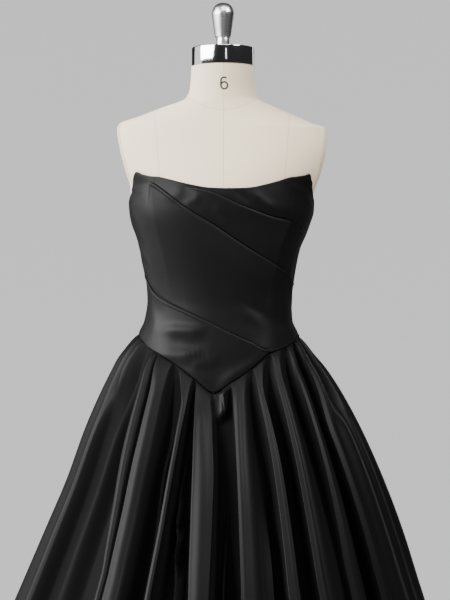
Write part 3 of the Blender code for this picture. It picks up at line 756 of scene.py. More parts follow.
def tape_finish():
    """Woven zip tape: a fine herringbone of black yarn."""
    finish = Finish("zip_tape")
    flat, whole = weave_places(finish)
    wave = {"wave_type": "BANDS", "bands_direction": "DIAGONAL"}
    ribs = finish.add("ShaderNodeTexWave", wave, {"Vector": flat, "Scale": 900.0})
    fluff = finish.noise(whole, 900.0, 2.0)
    tone = tuple(colours().satin)
    colour = finish.blend(ribs, tone, scaled(tone, 2.4))
    surface = finish.bump(ribs * 0.7 + fluff * 0.3, 0.0001, 0.6)
    return finish.set({"Base Color": colour, "Roughness": 0.75, "Normal": surface})


def thread_finish():
    """Black sewing thread with a little twist."""
    finish = Finish("sewing_thread")
    whole = finish.whole_place()
    twist = finish.noise(whole, 2600.0, 2.0)
    tone = tuple(colours().satin)
    colour = finish.blend(twist, tone, scaled(tone, 3.5))
    surface = finish.bump(twist, 0.00005, 0.6)
    return finish.set({"Base Color": colour, "Roughness": 0.55, "Normal": surface})


# Rows of the bodice, up each tuck's layer as shares of its height, and round its folded edge
# as a rise past the edge and a share of the step. UNDER_FOLD is the layer under that edge.
LAYER_SHARES = tuple(0.5 - 0.5 * math.cos(math.pi * step / 24) for step in range(1, 24))
FOLD_STEPS = (("rise", "share"), (-0.0042, 1.0), (-0.0030, 1.14), (-0.0018, 1.24),
              (-0.0006, 1.20), (0.0005, 0.96), (0.0010, 0.56), (0.0005, 0.14), (-0.0004, -0.14))
UNDER_FOLD = (("rise", "share"), (0.0011, -0.20), (0.0022, -0.08))
BACK_SHARES = tuple(step / 44 for step in range(1, 44))
# Space between the rows of a fold where it has run out; least space between two folds and from
# a fold to the panel's edge; and how far a fold can be moved by these before it is gone.
FOLD_PITCH = 0.0005
TUCK_ROOM = 0.0070
EDGE_ROOM = 0.0048
TUCK_PULL_OUT = 0.020
# How far the cloth can be pressed in before it would touch the form.
CLOSEST = 0.0025
# How far the waist seam stands out at the V, the V's angle and half width in degrees, and how
# far up the bodice the cloth follows it.
V_LIFT = 0.0050
V_ANGLE = 2.0
V_WIDTH = 30.0
SEAM_FLARE = 0.024
# How far a back or front panel turns in at a side seam and at the zip.
SIDE_ROLL = 0.0006
ZIP_ROLL = 0.0012
TOP_TURN = (("below_top", "inward"), (0.0024, 0.0), (0.0018, 0.0), (0.0011, 0.0003),
            (0.0004, 0.0009), (0.0, 0.0018))
SEAM_TURN = (("past_seam", "inward"), (0.0, 1.0), (0.0005, 0.55), (0.0012, 0.22), (0.0024, 0.0))


def tuck_edges(degrees, bottom, top):
    """Heights of the three folded edges at an angle, and how strong each fold is there."""
    wanted = [float(tuck.read("height", degrees)) for tuck in TUCKS]
    edges = list(wanted)
    limit = top - EDGE_ROOM
    for index in reversed(range(len(edges))):
        edges[index] = min(edges[index], limit)
        limit = edges[index] - TUCK_ROOM
    limit = bottom + EDGE_ROOM
    for index in range(len(edges)):
        edges[index] = max(edges[index], limit)
        limit = edges[index] + TUCK_ROOM
    strengths = []
    for tuck, edge, target in zip(TUCKS, edges, wanted):
        in_place = max(0.0, 1 - abs(edge - target) / TUCK_PULL_OUT)
        strengths.append(in_place * float(tuck.read("strength", degrees)))
    return edges, strengths


def seam_rows(bottom):
    """Heights and lifts of the rows that turn in at the waist seam."""
    roll = gown_sizes().seam_roll
    return ([bottom + past for past, inward in SEAM_TURN[1:]],
            [-roll * inward for past, inward in SEAM_TURN[1:]])


def add_top_rows(heights, lifts, shares, top):
    """Adds the rows of the plain cloth up to the neckline and those that turn in there."""
    start = heights[-1]
    for share in shares:
        heights.append(start + (top - TOP_TURN[1][0] - start) * share)
        lifts.append(0.0)
    for below, inward in TOP_TURN[1:]:
        heights.append(top - below)
        lifts.append(-inward)
    return heights, lifts


def front_rows(degrees, bottom, top):
    """Heights and lifts of the rows of the tucked front at an angle."""
    sizes = gown_sizes()
    edges, strengths = tuck_edges(degrees, bottom, top)
    heights, lifts = seam_rows(bottom)
    for edge, strength in zip(edges, strengths):
        lift = sizes.tuck_step * strength
        start, limit = heights[-1], edge + FOLD_STEPS[1][0]
        for share in LAYER_SHARES:
            level = start + (limit - start) * share
            heights.append(level)
            lifts.append(lift * max(0.0, 1 - (edge - level) / sizes.tuck_reach) ** 1.5)
        for index, (past, share) in enumerate(FOLD_STEPS[1:]):
            plain = FOLD_STEPS[1][0] + index * FOLD_PITCH
            heights.append(edge + past * strength + plain * (1 - strength))
            lifts.append(lift * share)
        for past, share in UNDER_FOLD[1:]:
            heights.append(edge + past)
            lifts.append(lift * share)
    return add_top_rows(heights, lifts, LAYER_SHARES, top)


def back_rows(degrees, bottom, top):
    """Heights and lifts of the rows of a plain back panel."""
    return add_top_rows(*seam_rows(bottom), BACK_SHARES, top)


def crease_offsets(degrees, heights, creases):
    """How far the creases move the cloth, at angles in degrees and at heights."""
    offset = np.zeros_like(heights)
    metres = math.radians(1) * MEAN_RADIUS
    for crease in named_rows(creases):
        start = np.array((crease["angle"] * metres, crease["height"]))
        run = np.array((crease["end_angle"] * metres, crease["end_height"])) - start
        length = np.linalg.norm(run)
        run = run / length
        across, up = degrees * metres - start[0], heights - start[1]
        along = (across * run[0] + up * run[1]) / length
        aside = across * -run[1] + up * run[0]
        taper = smooth_step(0.0, 0.35, along) * smooth_step(0.0, 0.35, 1 - along)
        offset -= crease["depth"] * taper * np.exp(-(aside / crease["width"]) ** 2)
    return offset


def seam_lift(degrees):
    """How far the front of the waist seam stands out, where the V tips up to the light."""
    return V_LIFT * np.exp(-((degrees - V_ANGLE) / V_WIDTH) ** 2)


def bodice_panel(degrees, rows_at, creases, roll_start, roll_end):
    """The points of a bodice panel, and the angles in degrees, heights and lifts of its rows."""
    sizes = gown_sizes()
    heights, lifts = [], []
    for angle in degrees:
        bottom = float(WAIST_SEAM.read("height", angle)) + sizes.seam_gap / 2
        top = float(NECKLINE.read("height", angle))
        levels, raised = rows_at(angle, bottom, top)
        heights.append(levels)
        lifts.append(raised)
    heights, lifts = np.array(heights), np.array(lifts)
    turned = np.repeat(np.asarray(degrees)[:, None], heights.shape[1], axis=1)
    angle = np.radians(turned)
    plain = place(cloth_radius(angle, heights), angle, heights)
    step = 1e-4
    along = place(cloth_radius(angle + step, heights), angle + step, heights) - plain
    upward = place(cloth_radius(angle, heights + step), angle, heights + step) - plain
    normal = np.cross(along, upward)
    normal /= np.linalg.norm(normal, axis=-1, keepdims=True)
    offset = lifts + crease_offsets(turned, heights, creases)
    above = (heights - heights[:, :1]) / SEAM_FLARE
    offset += seam_lift(turned) * np.exp(-above ** 2)
    for edge, roll in ((0, roll_start), (-1, roll_end)):
        gap = np.linalg.norm((plain - plain[edge])[:, :, :2], axis=-1)
        offset -= roll * np.clip(1 - gap / (2 * max(roll, 1e-6)), 0, 1) ** 2
    offset = np.maximum(offset, -CLOSEST)
    return plain + normal * offset[..., None], turned, heights, lifts


# Soft creases of the two back panels, as in BODICE_CREASES.
BACK_CREASES = (
    ("angle", "height", "end_angle", "end_height", "width", "depth"),
    (176, 1.080, 128, 1.066, 0.0060, 0.0014),
    (172, 1.104, 134, 1.112, 0.0055, -0.0012),
    (168, 1.062, 116, 1.056, 0.0045, 0.0013),
    (98, 1.190, 122, 1.150, 0.0060, 0.0012),
    (96, 1.140, 118, 1.096, 0.0055, -0.0012),
    (-177, 1.072, -134, 1.078, 0.0060, 0.0013),
    (-173, 1.112, -130, 1.100, 0.0050, -0.0011),
    (-170, 1.060, -112, 1.052, 0.0045, 0.0014),
    (-97, 1.206, -118, 1.160, 0.0060, 0.0013),
    (-95, 1.150, -122, 1.108, 0.0050, -0.0012),
)


def fine_angles(start, end, step, ends=(0.0, 0.4, 0.9, 1.6)):
    """Column angles in degrees, closer together at both ends, where the cloth turns in."""
    middle = np.linspace(start + ends[-1], end - ends[-1], int((end - start) / step))
    first = [start + part for part in ends[:-1]]
    last = [end - part for part in reversed(ends[:-1])]
    return np.array([*first, *middle, *last])


class GOWN_OT_bodice(Operator):
    """Make the tucked bodice front and the two plain back panels"""

    bl_idname = "gown.bodice"
    bl_label = "Bodice"

    def execute(self, context):
        sizes = gown_sizes()
        gap = math.degrees(sizes.seam_gap / 2 / MEAN_RADIUS)
        degrees = fine_angles(-90 + gap, 90 - gap, 0.85)
        points, turned, heights, lifts = bodice_panel(degrees, front_rows, BODICE_CREASES,
                                                      SIDE_ROLL, SIDE_ROLL)
        # Painted highlight, a little glossier, past the left princess seam, spread over more
        # degrees lower down and weaker near the waist, and on the lips of the folds; painted
        # shade, rougher, past the right princess seam.
        soft = 0.7 + 7.0 * smooth_step(1.17, 1.06, heights)
        left = smooth_step(-soft, soft, PRINCESS.read("left", heights) - turned)
        right = smooth_step(-soft, soft, turned - PRINCESS.read("right", heights))
        lips = smooth_step(1.04, 1.16, lifts / sizes.tuck_step) * 0.8
        low = 1 - smooth_step(1.01, 1.10, heights)
        masks = {"lit_grain": np.maximum(left * (1 - 0.45 * low), lips),
                 "dull_grain": right * (1 - lips)}
        cloth = satin_finish("draped_satin", painted_light_masks=True)
        front = sheet_object("bodice_front_satin", points, cloth, sizes.cloth,
                             masks=masks)
        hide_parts("bodice_front")
        cloth = satin_finish("black_satin")
        backs = (("right", 90 + gap, 180 - gap, SIDE_ROLL, ZIP_ROLL),
                 ("left", -180 + gap, -90 - gap, ZIP_ROLL, SIDE_ROLL))
        for side, start, end, *rolls in backs:
            degrees = fine_angles(start, end, 1.2)
            points = bodice_panel(degrees, back_rows, BACK_CREASES, *rolls)[0]
            back = sheet_object(f"bodice_back_{side}_satin", points, cloth,
                                sizes.cloth)
            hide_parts(f"bodice_back_{side}")
        return {"FINISHED"}


def skirt_lines():
    """Lines down the skirt all round, in rising angle from the left side of the view."""
    lines = named_rows(FRONT_LINES)
    uneven = np.random.default_rng(11)
    backs = [*BACK_RECESSES, 180.0, *[360.0 - angle for angle in reversed(BACK_RECESSES)]]
    for start, end in zip(backs, backs[1:]):
        shift = 0.0 if start in KEPT_RECESSES else uneven.uniform(-1.6, 1.6)
        wander = uneven.uniform(-1.5, 1.5, 3)
        foot = uneven.uniform(0.0, 0.12, 2)
        width = end - start
        # The flat top of a back pleat lies beside the recess that its fold turns away from.
        near, far = (0.10, 0.24) if start >= 180.0 else (0.76, 0.90)
        shoulders = (start + width * near, start + width * far)
        rows = [(start, shift, 0.0, foot[0])]
        if start >= 180.0:
            rows.append((start + 0.5, shift + 0.8, 0.0, foot[0]))
        rows.append((shoulders[0], wander[0], 1.0, 1.0))
        rows.append((shoulders[1], wander[0] + abs(wander[1]), 1.0, 1.0))
        if start < 180.0:
            rows.append((end - 0.5, wander[2] * 0.3 - 0.8, 0.0, foot[1]))
        for seam, move, rise, low in rows:
            lines.append(dict(seam=seam, high=seam + move * 0.4, mid=seam + move * 0.8,
                              low=seam + move, rise_high=rise, rise_mid=(rise + low) / 2,
                              rise_low=low))
    for line in lines:
        if line["seam"] < 0:
            for name in ("seam", "high", "mid", "low"):
                line[name] += 360.0
    lines.sort(key=lambda line: line["seam"])
    return lines


# Mesh columns from one line of the skirt to the next, and mesh rows down it.
SPAN_COLUMNS = 9
SKIRT_ROWS = 96
# The least width in degrees that a slope is worked out on, so that a fold's foot stays smooth.
NARROWEST = 0.6
# How far the face of a fold swells for each degree of its width.
CROWN = 0.00055
# How strong the painted highlight is on the crests that turn away from the main light.
CREST_PAINTED_HIGHLIGHT = 0.30
# How far the hanging cloth strays from its even shape.
UNEVENNESS = 0.0011


def span_rise(part, angles, heights):
    """Height of the cloth between two lines, on a smooth curve from the line before them to
    the line after them."""
    gaps = [np.maximum(np.abs(after - before), NARROWEST)
            for before, after in zip(angles, angles[1:])]
    slopes = [(after - before) / gap for before, after, gap in zip(heights, heights[1:], gaps)]
    tangents = [even_slope(before, after) for before, after in zip(slopes, slopes[1:])]
    return curve(part, gaps[1], heights[1:3], tangents)


def moved_round(lines, index):
    """A line by its number, carried round the skirt past the first and last."""
    line = dict(lines[index % len(lines)])
    for name in ("seam", "high", "mid", "low"):
        line[name] += 360.0 * (index // len(lines))
    return line


def skirt_columns():
    """Mesh columns round the skirt, as the four lines about each and its share."""
    lines = skirt_lines()
    columns = []
    for index, line in enumerate(lines):
        near = [moved_round(lines, index + step) for step in (-1, 0, 1, 2)]
        for step in range(SPAN_COLUMNS):
            part = 0.5 - 0.5 * math.cos(math.pi * step / SPAN_COLUMNS)
            part = 0.5 * part + 0.5 * step / SPAN_COLUMNS
            columns.append(dict(near=near, part=part, seam=line["seam"], on_line=step == 0))
    return columns


def track(line, drop):
    """A line's angle in degrees at each drop."""
    rows = tuple(zip(LINE_DROPS, (line["seam"], line["high"], line["mid"], line["low"])))
    return Table(("drop", "angle"), rows).read("angle", drop)


def rise(line, drop):
    """A line's height at each drop."""
    rows = tuple(zip(LINE_DROPS[1:], (line["rise_high"], line["rise_mid"], line["rise_low"])))
    return Table(("drop", "rise"), rows).read("rise", drop)


def flare(angle, drop):
    """How far a fold stands out past the seam at a drop below it."""
    left, right = FLARE.read("left", drop), FLARE.read("right", drop)
    side = left + (right - left) * (0.5 + 0.5 * np.sin(angle))
    ahead = np.cos(angle)
    return side * (1 + np.where(ahead > 0, FRONT_FULLNESS, BACK_FULLNESS) * ahead ** 2)


def row_shares():
    """Shares of the drop for the mesh rows, close together under the waist seam."""
    steps = np.linspace(0, 1, SKIRT_ROWS)
    return 0.25 * steps ** 2 + 0.75 * steps ** 2.6


def skirt_points(columns):
    """Outer points of the skirt, and how far in each lies between the outside of the folds, 0,
    and the foot of a recess, 1. Indexed [column][row], rows running down from the seam."""
    sizes = gown_sizes()
    shares = row_shares()
    points, dips = [], []
    for column in columns:
        near, part = column["near"], column["part"]
        line, after = near[1:3]
        start = turned_back(line["seam"] + (after["seam"] - line["seam"]) * part)
        drop = shares * (float(WAIST_SEAM.read("height", start)) - sizes.hem_height)
        degrees = track(line, drop) * (1 - part) + track(after, drop) * part
        level = WAIST_SEAM.read("height", turned_back(degrees)) - sizes.seam_gap / 2
        drop = shares * (level - sizes.hem_height)
        angle = np.radians(degrees)
        depth = FOLD_DEPTH.read("depth", drop)
        dip = 1 - span_rise(part, [track(each, drop) for each in near],
                            [rise(each, drop) for each in near])
        radius = cloth_radius(angle, level) + flare(angle, drop) - depth * dip
        proud = ridgelets(degrees, drop) * np.clip(dip, 0.0, 1.0)
        outside = np.minimum(rise(line, drop), rise(after, drop))
        crown = CROWN * np.abs(track(after, drop) - track(line, drop))
        crown = crown * smooth_step(0.7, 0.92, outside) * math.sin(math.pi * part) ** 2
        radius += proud + crown * smooth_step(0.004, 0.05, drop)
        radius += seam_lift(degrees) * (1 - smooth_step(0.0, 0.06, drop))
        radius += softness(degrees, drop)
        roll = np.interp(drop, [row[0] for row in SEAM_TURN[1:]],
                         [row[1] for row in SEAM_TURN[1:]])
        radius -= roll * sizes.seam_roll
        under = 0.3 * seam_lift(degrees) * (drop == 0)
        points.append(place(radius - under, angle, level - drop + under))
        dips.append(dip - proud / np.maximum(depth, 1e-4))
    return np.array(points), np.array(dips)


def turned_back(degrees):
    """Angles in degrees brought to the range from -180 to 180."""
    return (degrees + 180.0) % 360.0 - 180.0


def ridgelets(degrees, drop):
    """How far the thin secondary ridges stand out of their recesses."""
    total = np.zeros_like(degrees)
    for ridge in named_rows(RIDGELETS):
        middle = ridge["angle_mid"] + (ridge["angle_low"] - ridge["angle_mid"]) * smooth_step(
            LINE_DROPS[2], LINE_DROPS[3], drop)
        grown = smooth_step(ridge["starts"], ridge["full"], drop)
        grown = grown * (1 - smooth_step(ridge["fades"], ridge["gone"], drop))
        aside = (turned_back(degrees) - middle) / ridge["width"]
        total += ridge["height"] * grown * np.exp(-aside ** 2)
    return total


def softness(degrees, drop):
    """Slow unevenness of hanging cloth, which is nothing at the seam."""
    angle = np.radians(degrees)
    wave = np.sin(7 * angle + 9 * drop) + 0.6 * np.sin(13 * angle - 14 * drop + 1.0)
    return UNEVENNESS * wave * smooth_step(0.02, 0.3, drop)


class GOWN_OT_skirt(Operator):
    """Make the five pleated skirt panels"""

    bl_idname = "gown.skirt"
    bl_label = "Skirt"

    def execute(self, context):
        sizes = gown_sizes()
        columns = skirt_columns()
        points, dips = (grid[:, ::-1] for grid in skirt_points(columns))
        cloth = satin_finish("hanging_satin", painted_light_masks=True)
        starts = {round(column["seam"] % 360, 1): index
                  for index, column in enumerate(columns) if column["on_line"]}
        for cut in named_rows(SKIRT_PANELS):
            first, last = (starts[round(cut[side] % 360, 1)] for side in ("start", "end"))
            if last <= first:
                last += len(columns)
            chosen = np.arange(first, last + 1) % len(columns)
            picked = points[chosen].copy()
            # Painted shade, rougher, in the recesses, and painted highlight on the crests right
            # of the middle.
            dull_and_shaded = smooth_step(0.06, 0.42, dips[chosen])
            turned = np.degrees(np.arctan2(picked[..., 0], -picked[..., 1]))
            away = smooth_step(8, 22, turned) * (1 - smooth_step(48, 62, turned))
            lit = CREST_PAINTED_HIGHLIGHT * away * (1 - smooth_step(0.02, 0.14, dips[chosen]))
            masks = {"lit_grain": lit, "dull_grain": dull_and_shaded}
            for edge, sign in ((0, 1), (-1, -1)):
                across = picked[edge][:, [1, 0]] * (-1, 1)
                across /= np.linalg.norm(across, axis=-1, keepdims=True)
                picked[edge][:, :2] += across * sign * sizes.seam_gap / 2
            panel = sheet_object(f"{cut['name']}_satin", picked, cloth, sizes.cloth,
                                 masks=masks)
            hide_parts(cut["name"])
        return {"FINISHED"}


def back_line(drop_below):
    """A point of the closed back seam and its outward direction, from the neckline down."""
    top = float(NECKLINE.read("height", 180.0))
    height = np.array([top - drop_below])
    angle = np.array([math.pi])
    step = 1e-3
    point = place(cloth_radius(angle, height), angle, height)[0]
    above = place(cloth_radius(angle, height + step), angle, height + step)[0]
    upward = Vector(above - point).normalized()
    outward = Vector((-1, 0, 0)).cross(upward).normalized()
    return Vector(point), outward, upward


def add_block(shape, centre, axes, half):
    """A small block with its top edges drawn in, on three axes."""
    corners = []
    for out, inset in ((-1, 1.0), (1, 0.72)):
        for u, v in ((-1, -1), (1, -1), (1, 1), (-1, 1)):
            offset = axes[0] * (u * half[0] * inset) + axes[1] * (v * half[1] * inset)
            corners.append(shape.verts.new(centre + offset + axes[2] * (out * half[2])))
    for face in ((0, 1, 2, 3), (7, 6, 5, 4), (0, 4, 5, 1), (1, 5, 6, 2), (2, 6, 7, 3),
                 (3, 7, 4, 0)):
        shape.faces.new([corners[index] for index in face])


# The zip: its tape's width, thickness and depth under the cloth; where the teeth start under
# the neckline, their depth, how far each is from the seam, and their half width, half height
# as a share of the pitch and half thickness; and how far its stitch lines are from the seam.
TAPE_WIDTH = 0.0120
TAPE_THICKNESS = 0.0004
TAPE_DEPTH = 0.0011
TEETH_START = 0.018
TEETH_DEPTH = 0.0004
TOOTH_ASIDE = 0.0009
TOOTH_HALF = (0.0013, 0.21, 0.0005)
STITCH_ASIDE = 0.0058


class GOWN_OT_zip(Operator):
    """Make the zip's tape and teeth, and finish its slider and pull tab"""

    bl_idname = "gown.zip"
    bl_label = "Zip"

    def execute(self, context):
        sizes = gown_sizes()
        waist = float(WAIST_SEAM.read("height", 180.0))
        length = float(NECKLINE.read("height", 180.0)) - waist - 0.004
        offsets = np.linspace(-TAPE_WIDTH / 2, TAPE_WIDTH / 2, 7)
        strip = []
        for offset in offsets:
            column = []
            for step in range(41):
                point, outward, upward = back_line(length * (1 - step / 40) + 0.002)
                column.append(point - outward * TAPE_DEPTH + Vector((-offset, 0, 0)))
            strip.append(column)
        tape = sheet_object("zip_tape", np.array(strip), tape_finish(), TAPE_THICKNESS)
        enamel = paint_finish("zip_enamel", tuple(colours().paint), 0.32, 900.0)
        teeth = bmesh.new()
        count = int((length - TEETH_START) / sizes.tooth_pitch)
        wide, high, thick = TOOTH_HALF
        for tooth in range(count * 2):
            side = 1 if tooth % 2 else -1
            point, outward, upward = back_line(TEETH_START + tooth * sizes.tooth_pitch / 2)
            centre = point - outward * TEETH_DEPTH + Vector((side * TOOTH_ASIDE, 0, 0))
            add_block(teeth, centre, (Vector((1, 0, 0)), upward, outward),
                      (wide, sizes.tooth_pitch * high, thick))
        mesh_object("zip_teeth", teeth, enamel)
        for node in ("zip_slider", "zip_pull"):
            dress_node(node, enamel)
        return {"FINISHED"}


def add_stitch(shape, centre, along, aside, outward, length, width):
    """One raised stitch: a small humped bar of thread."""
    rings = []
    for place_along, swell in ((-0.5, 0.35), (-0.25, 0.9), (0.25, 0.9), (0.5, 0.35)):
        ring = []
        for turn in (0, 0.25, 0.5, 0.75):
            spread = math.cos(2 * math.pi * turn) * width / 2 * swell
            rise = math.sin(2 * math.pi * turn) * width / 2 * swell
            ring.append(shape.verts.new(centre + along * (place_along * length) +
                                        aside * spread + outward * rise))
        rings.append(ring)
    for low, high in zip(rings, rings[1:]):
        for side in range(4):
            after = (side + 1) % 4
            shape.faces.new((low[side], low[after], high[after], high[side]))
    shape.faces.new(rings[0])
    shape.faces.new(rings[-1])


# Height of the hem's stitches above the hem; from one stitch to the next, as a share of its
# length, and the thread's thickness, at the zip and at the hem.
HEM_DEPTH = 0.018
ZIP_PITCH = 1.35
HEM_PITCH = 1.7
ZIP_THREAD = 0.0005
HEM_THREAD = 0.00045


class GOWN_OT_stitching(Operator):
    """Sew the zip's two stitch lines and the hem"""

    bl_idname = "gown.stitching"
    bl_label = "Stitching"

    def execute(self, context):
        thread = thread_finish()
        self.sew_zip(thread)
        self.sew_hem(thread)
        return {"FINISHED"}

    def sew_zip(self, thread):
        """The two lines of stitches beside the zip, sunk a little into the cloth."""
        stitch = gown_sizes().stitch
        waist = float(WAIST_SEAM.read("height", 180.0))
        length = float(NECKLINE.read("height", 180.0)) - waist - 0.008
        lines = bmesh.new()
        for side in (-1, 1):
            for number in range(int(length / (stitch * ZIP_PITCH))):
                point, outward, upward = back_line(0.004 + number * stitch * ZIP_PITCH)
                aside = Vector((side, 0, 0))
                centre = point + aside * STITCH_ASIDE
                centre.y -= 0.00018
                add_stitch(lines, centre, upward, aside, outward, stitch, ZIP_THREAD)
        mesh_object("zip_stitching", lines, thread, 60)

    def sew_hem(self, thread):
        """The stitches all round the hem."""
        sizes = gown_sizes()
        hem = bmesh.new()
        points = skirt_points(skirt_columns())[0]
        row = int(np.argmin(np.abs(points[0, :, 2] - sizes.hem_height - HEM_DEPTH)))
        loop = points[:, row]
        below = points[:, row + 1]
        gaps = np.linalg.norm(np.roll(loop, -1, axis=0) - loop, axis=1)
        places = np.concatenate(([0.0], np.cumsum(gaps)))
        pitch = sizes.stitch * HEM_PITCH
        for start in np.arange(0, places[-1] - pitch, pitch):
            index = int(np.searchsorted(places, start, side="right") - 1)
            after = (index + 1) % len(loop)
            part = (start - places[index]) / max(gaps[index], 1e-9)
            centre = Vector(loop[index] * (1 - part) + loop[after] * part)
            along = Vector(loop[after] - loop[index]).normalized()
            down = Vector(below[index] - loop[index]).normalized()
            outward = along.cross(-down).normalized()
            add_stitch(hem, centre + outward * 0.0001, along, down, outward, sizes.stitch,
                       HEM_THREAD)
        mesh_object("hem_stitching", hem, thread, 60)


# Sides of the cover, the heights where its rows come closer and part again, and the height
# from which the arm band is left off.
COVER_SIDES = 300
SHOULDER_START = 1.38
NECK_START = 1.475
BAND_TOP = 1.425
# The middle of the printed size, across and up, the neck's radius there, and how far the ink
# stands off the linen.
DIGIT_CENTRE = (0.0058, 1.4842)
NECK_RADIUS = 0.0565
INK_LIFT = 0.00025


class FORM_OT_cover(Operator):
    """Make the linen cover of the form and its printed size"""

    bl_idname = "dress_form.cover"
    bl_label = "Linen cover"

    def execute(self, context):
        low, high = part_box("form_body")
        heights = np.concatenate((
            np.linspace(low.z, SHOULDER_START, 110, endpoint=False),
            np.linspace(SHOULDER_START, NECK_START, 90, endpoint=False),
            np.linspace(NECK_START, high.z, 16),
        ))
        degrees = np.linspace(-180, 180, COVER_SIDES, endpoint=False)
        angle, level = np.meshgrid(np.radians(degrees), heights, indexing="ij")
        points = place(body_radius(angle, level), angle, level)
        plates = np.where(angle < 0, BODY.read("left", level), BODY.read("right", level))
        masks = {"from_plate": plates - np.abs(points[:, :, 0]) + 0.02 * (level > BAND_TOP)}
        cover = sheet_object("form_cover", points, linen_finish(), 0.0, closed=True,
                             masks=masks)
        close_ends(cover)
        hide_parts("form_body")
        self.print_size(context)
        return {"FINISHED"}

    def print_size(self, context):
        """The plain size number on the neck, as a thin line of ink."""
        sizes = form_sizes()
        width, height, stroke = sizes.digit_width, sizes.digit_height, sizes.digit_stroke
        wide, tall = (width - stroke) / 2, (height - stroke) / 2
        bowl = tall * 0.60
        path = []
        for step in range(13):
            turn = math.radians(48 + (180 - 48) * step / 12)
            path.append((math.cos(turn) * wide, tall * 0.42 + math.sin(turn) * tall * 0.58))
        for step in range(1, 29):
            turn = math.radians(180 + 360 * step / 28)
            reach = tall - bowl
            path.append((math.cos(turn) * wide, -reach + math.sin(turn) * bowl))
        shape = bmesh.new()
        stem = [path[12], (-wide, -(tall - bowl))]
        for line, closed in ((path[:13], False), (stem, False), (path[13:], True)):
            add_ribbon(shape, line, stroke, closed)
        mesh_object("printed_size", shape, ink_finish())


def add_ribbon(shape, path, stroke, closed):
    """A flat line of ink on the neck along a path of (across, up) points."""
    count = len(path)
    pairs = []
    for index, (across, up) in enumerate(path):
        before = path[(index - 1) % count] if closed or index else path[index]
        after = path[(index + 1) % count] if closed or index < count - 1 else path[index]
        run = Vector((after[0] - before[0], after[1] - before[1])).normalized()
        aside = Vector((-run.y, run.x)) * stroke / 2
        pair = []
        for sign in (-1, 1):
            x = DIGIT_CENTRE[0] + across + aside.x * sign
            z = DIGIT_CENTRE[1] + up + aside.y * sign
            height = np.array([z])
            angle = np.array([math.asin(x / NECK_RADIUS)])
            radius = body_radius(angle, height)
            angle = np.arcsin(np.clip(x / radius, -1, 1))
            radius = body_radius(angle, height) + INK_LIFT
            pair.append(shape.verts.new(place(radius, angle, height)[0]))
        pairs.append(pair)
    ends = pairs + pairs[:1] if closed else pairs
    for low, high in zip(ends, ends[1:]):
        shape.faces.new((low[0], high[0], high[1], low[1]))


def close_ends(piece):
    """Closes the first and last ring of a tube of points."""
    shape = bmesh.new()
    shape.from_mesh(piece.data)
    edges = [edge for edge in shape.edges if edge.is_boundary]
    bmesh.ops.holes_fill(shape, edges=edges)
    bmesh.ops.recalc_face_normals(shape, faces=shape.faces)
    shape.to_mesh(piece.data)
    shape.free()
    piece.data.set_sharp_from_angle(angle=math.radians(40))


# Turned profiles as (radius, height above the piece's floor).
CAP_OUTLINE = ((0.0, 0.0), (0.0540, 0.0), (0.0552, 0.0002), (0.0558, 0.0007), (0.0560, 0.0014),
               (0.0560, 0.0322), (0.0558, 0.0330), (0.0553, 0.0336), (0.0545, 0.0339),
               (0.0530, 0.0340), (0.0300, 0.0340), (0.0, 0.0340))
KNOB_OUTLINE = ((0.0, 0.0), (0.0117, 0.0), (0.0119, 0.0006), (0.0119, 0.0170), (0.0116, 0.0176),
                (0.0116, 0.0186), (0.0138, 0.0190), (0.0145, 0.0196), (0.0150, 0.0240),
                (0.0164, 0.0330), (0.0181, 0.0450), (0.0198, 0.0570), (0.0204, 0.0618),
                (0.0202, 0.0630), (0.0196, 0.0650), (0.0180, 0.0700), (0.0150, 0.0752),
                (0.0105, 0.0788), (0.0055, 0.0803), (0.0, 0.0806))
# How far the neck's axis is to the right of the form's.
AXIS_X = 0.0036


def turned_piece(name, outline, floor, material, replaced):
    """A round piece turned about the neck's axis, in place of a packed one."""
    sides = form_sizes().turned_sides
    shape = bmesh.new()
    rings = []
    for radius, height in outline:
        if radius == 0.0:
            rings.append([shape.verts.new((AXIS_X, 0, floor + height))])
            continue
        turns = [2 * math.pi * side / sides for side in range(sides)]
        rings.append([shape.verts.new((AXIS_X + radius * math.cos(turn),
                                       radius * math.sin(turn), floor + height))
                      for turn in turns])
    for low, high in zip(rings, rings[1:]):
        for side in range(sides):
            after = (side + 1) % sides
            corners = [low[side % len(low)], low[after % len(low)], high[after % len(high)],
                       high[side % len(high)]]
            shape.faces.new(list(dict.fromkeys(corners)))
    piece = mesh_object(name, shape, material, 30)
    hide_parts(replaced)
    return piece


class FORM_OT_fittings(Operator):
    """Make the neck cap and knob, and finish the pole and foot"""

    bl_idname = "dress_form.fittings"
    bl_label = "Fittings"

    def execute(self, context):
        tones = colours()
        chrome = metal_finish("polished_chrome", tuple(tones.chrome), 0.09, 900.0, 0.00002)
        knob = metal_finish("satin_metal", tuple(tones.knob), 0.30, 2600.0, 0.00004)
        cap_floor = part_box("neck_cap")[0].z
        knob_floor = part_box("neck_knob")[0].z
        turned_piece("neck_cap_chrome", CAP_OUTLINE, cap_floor, chrome, "neck_cap")
        turned_piece("neck_knob_metal", KNOB_OUTLINE, knob_floor, knob,
                     "neck_knob")
        dress_node("stand_pole", chrome)
        dress_node("stand_base", paint_finish("foot_paint", tuple(tones.paint), 0.45, 420.0))
        return {"FINISHED"}


def floor_finish():
    """Pale matt floor with a trace of unevenness."""
    finish = Finish("pale_floor")
    tone = (0.62, 0.62, 0.61)
    whole = finish.whole_place()
    cloud = finish.noise(whole, 0.8, 2.0)
    colour = finish.blend(cloud, scaled(tone, 0.98), tone)
    return finish.set({"Base Color": colour, "Roughness": 0.7, "Specular IOR Level": 0.2})


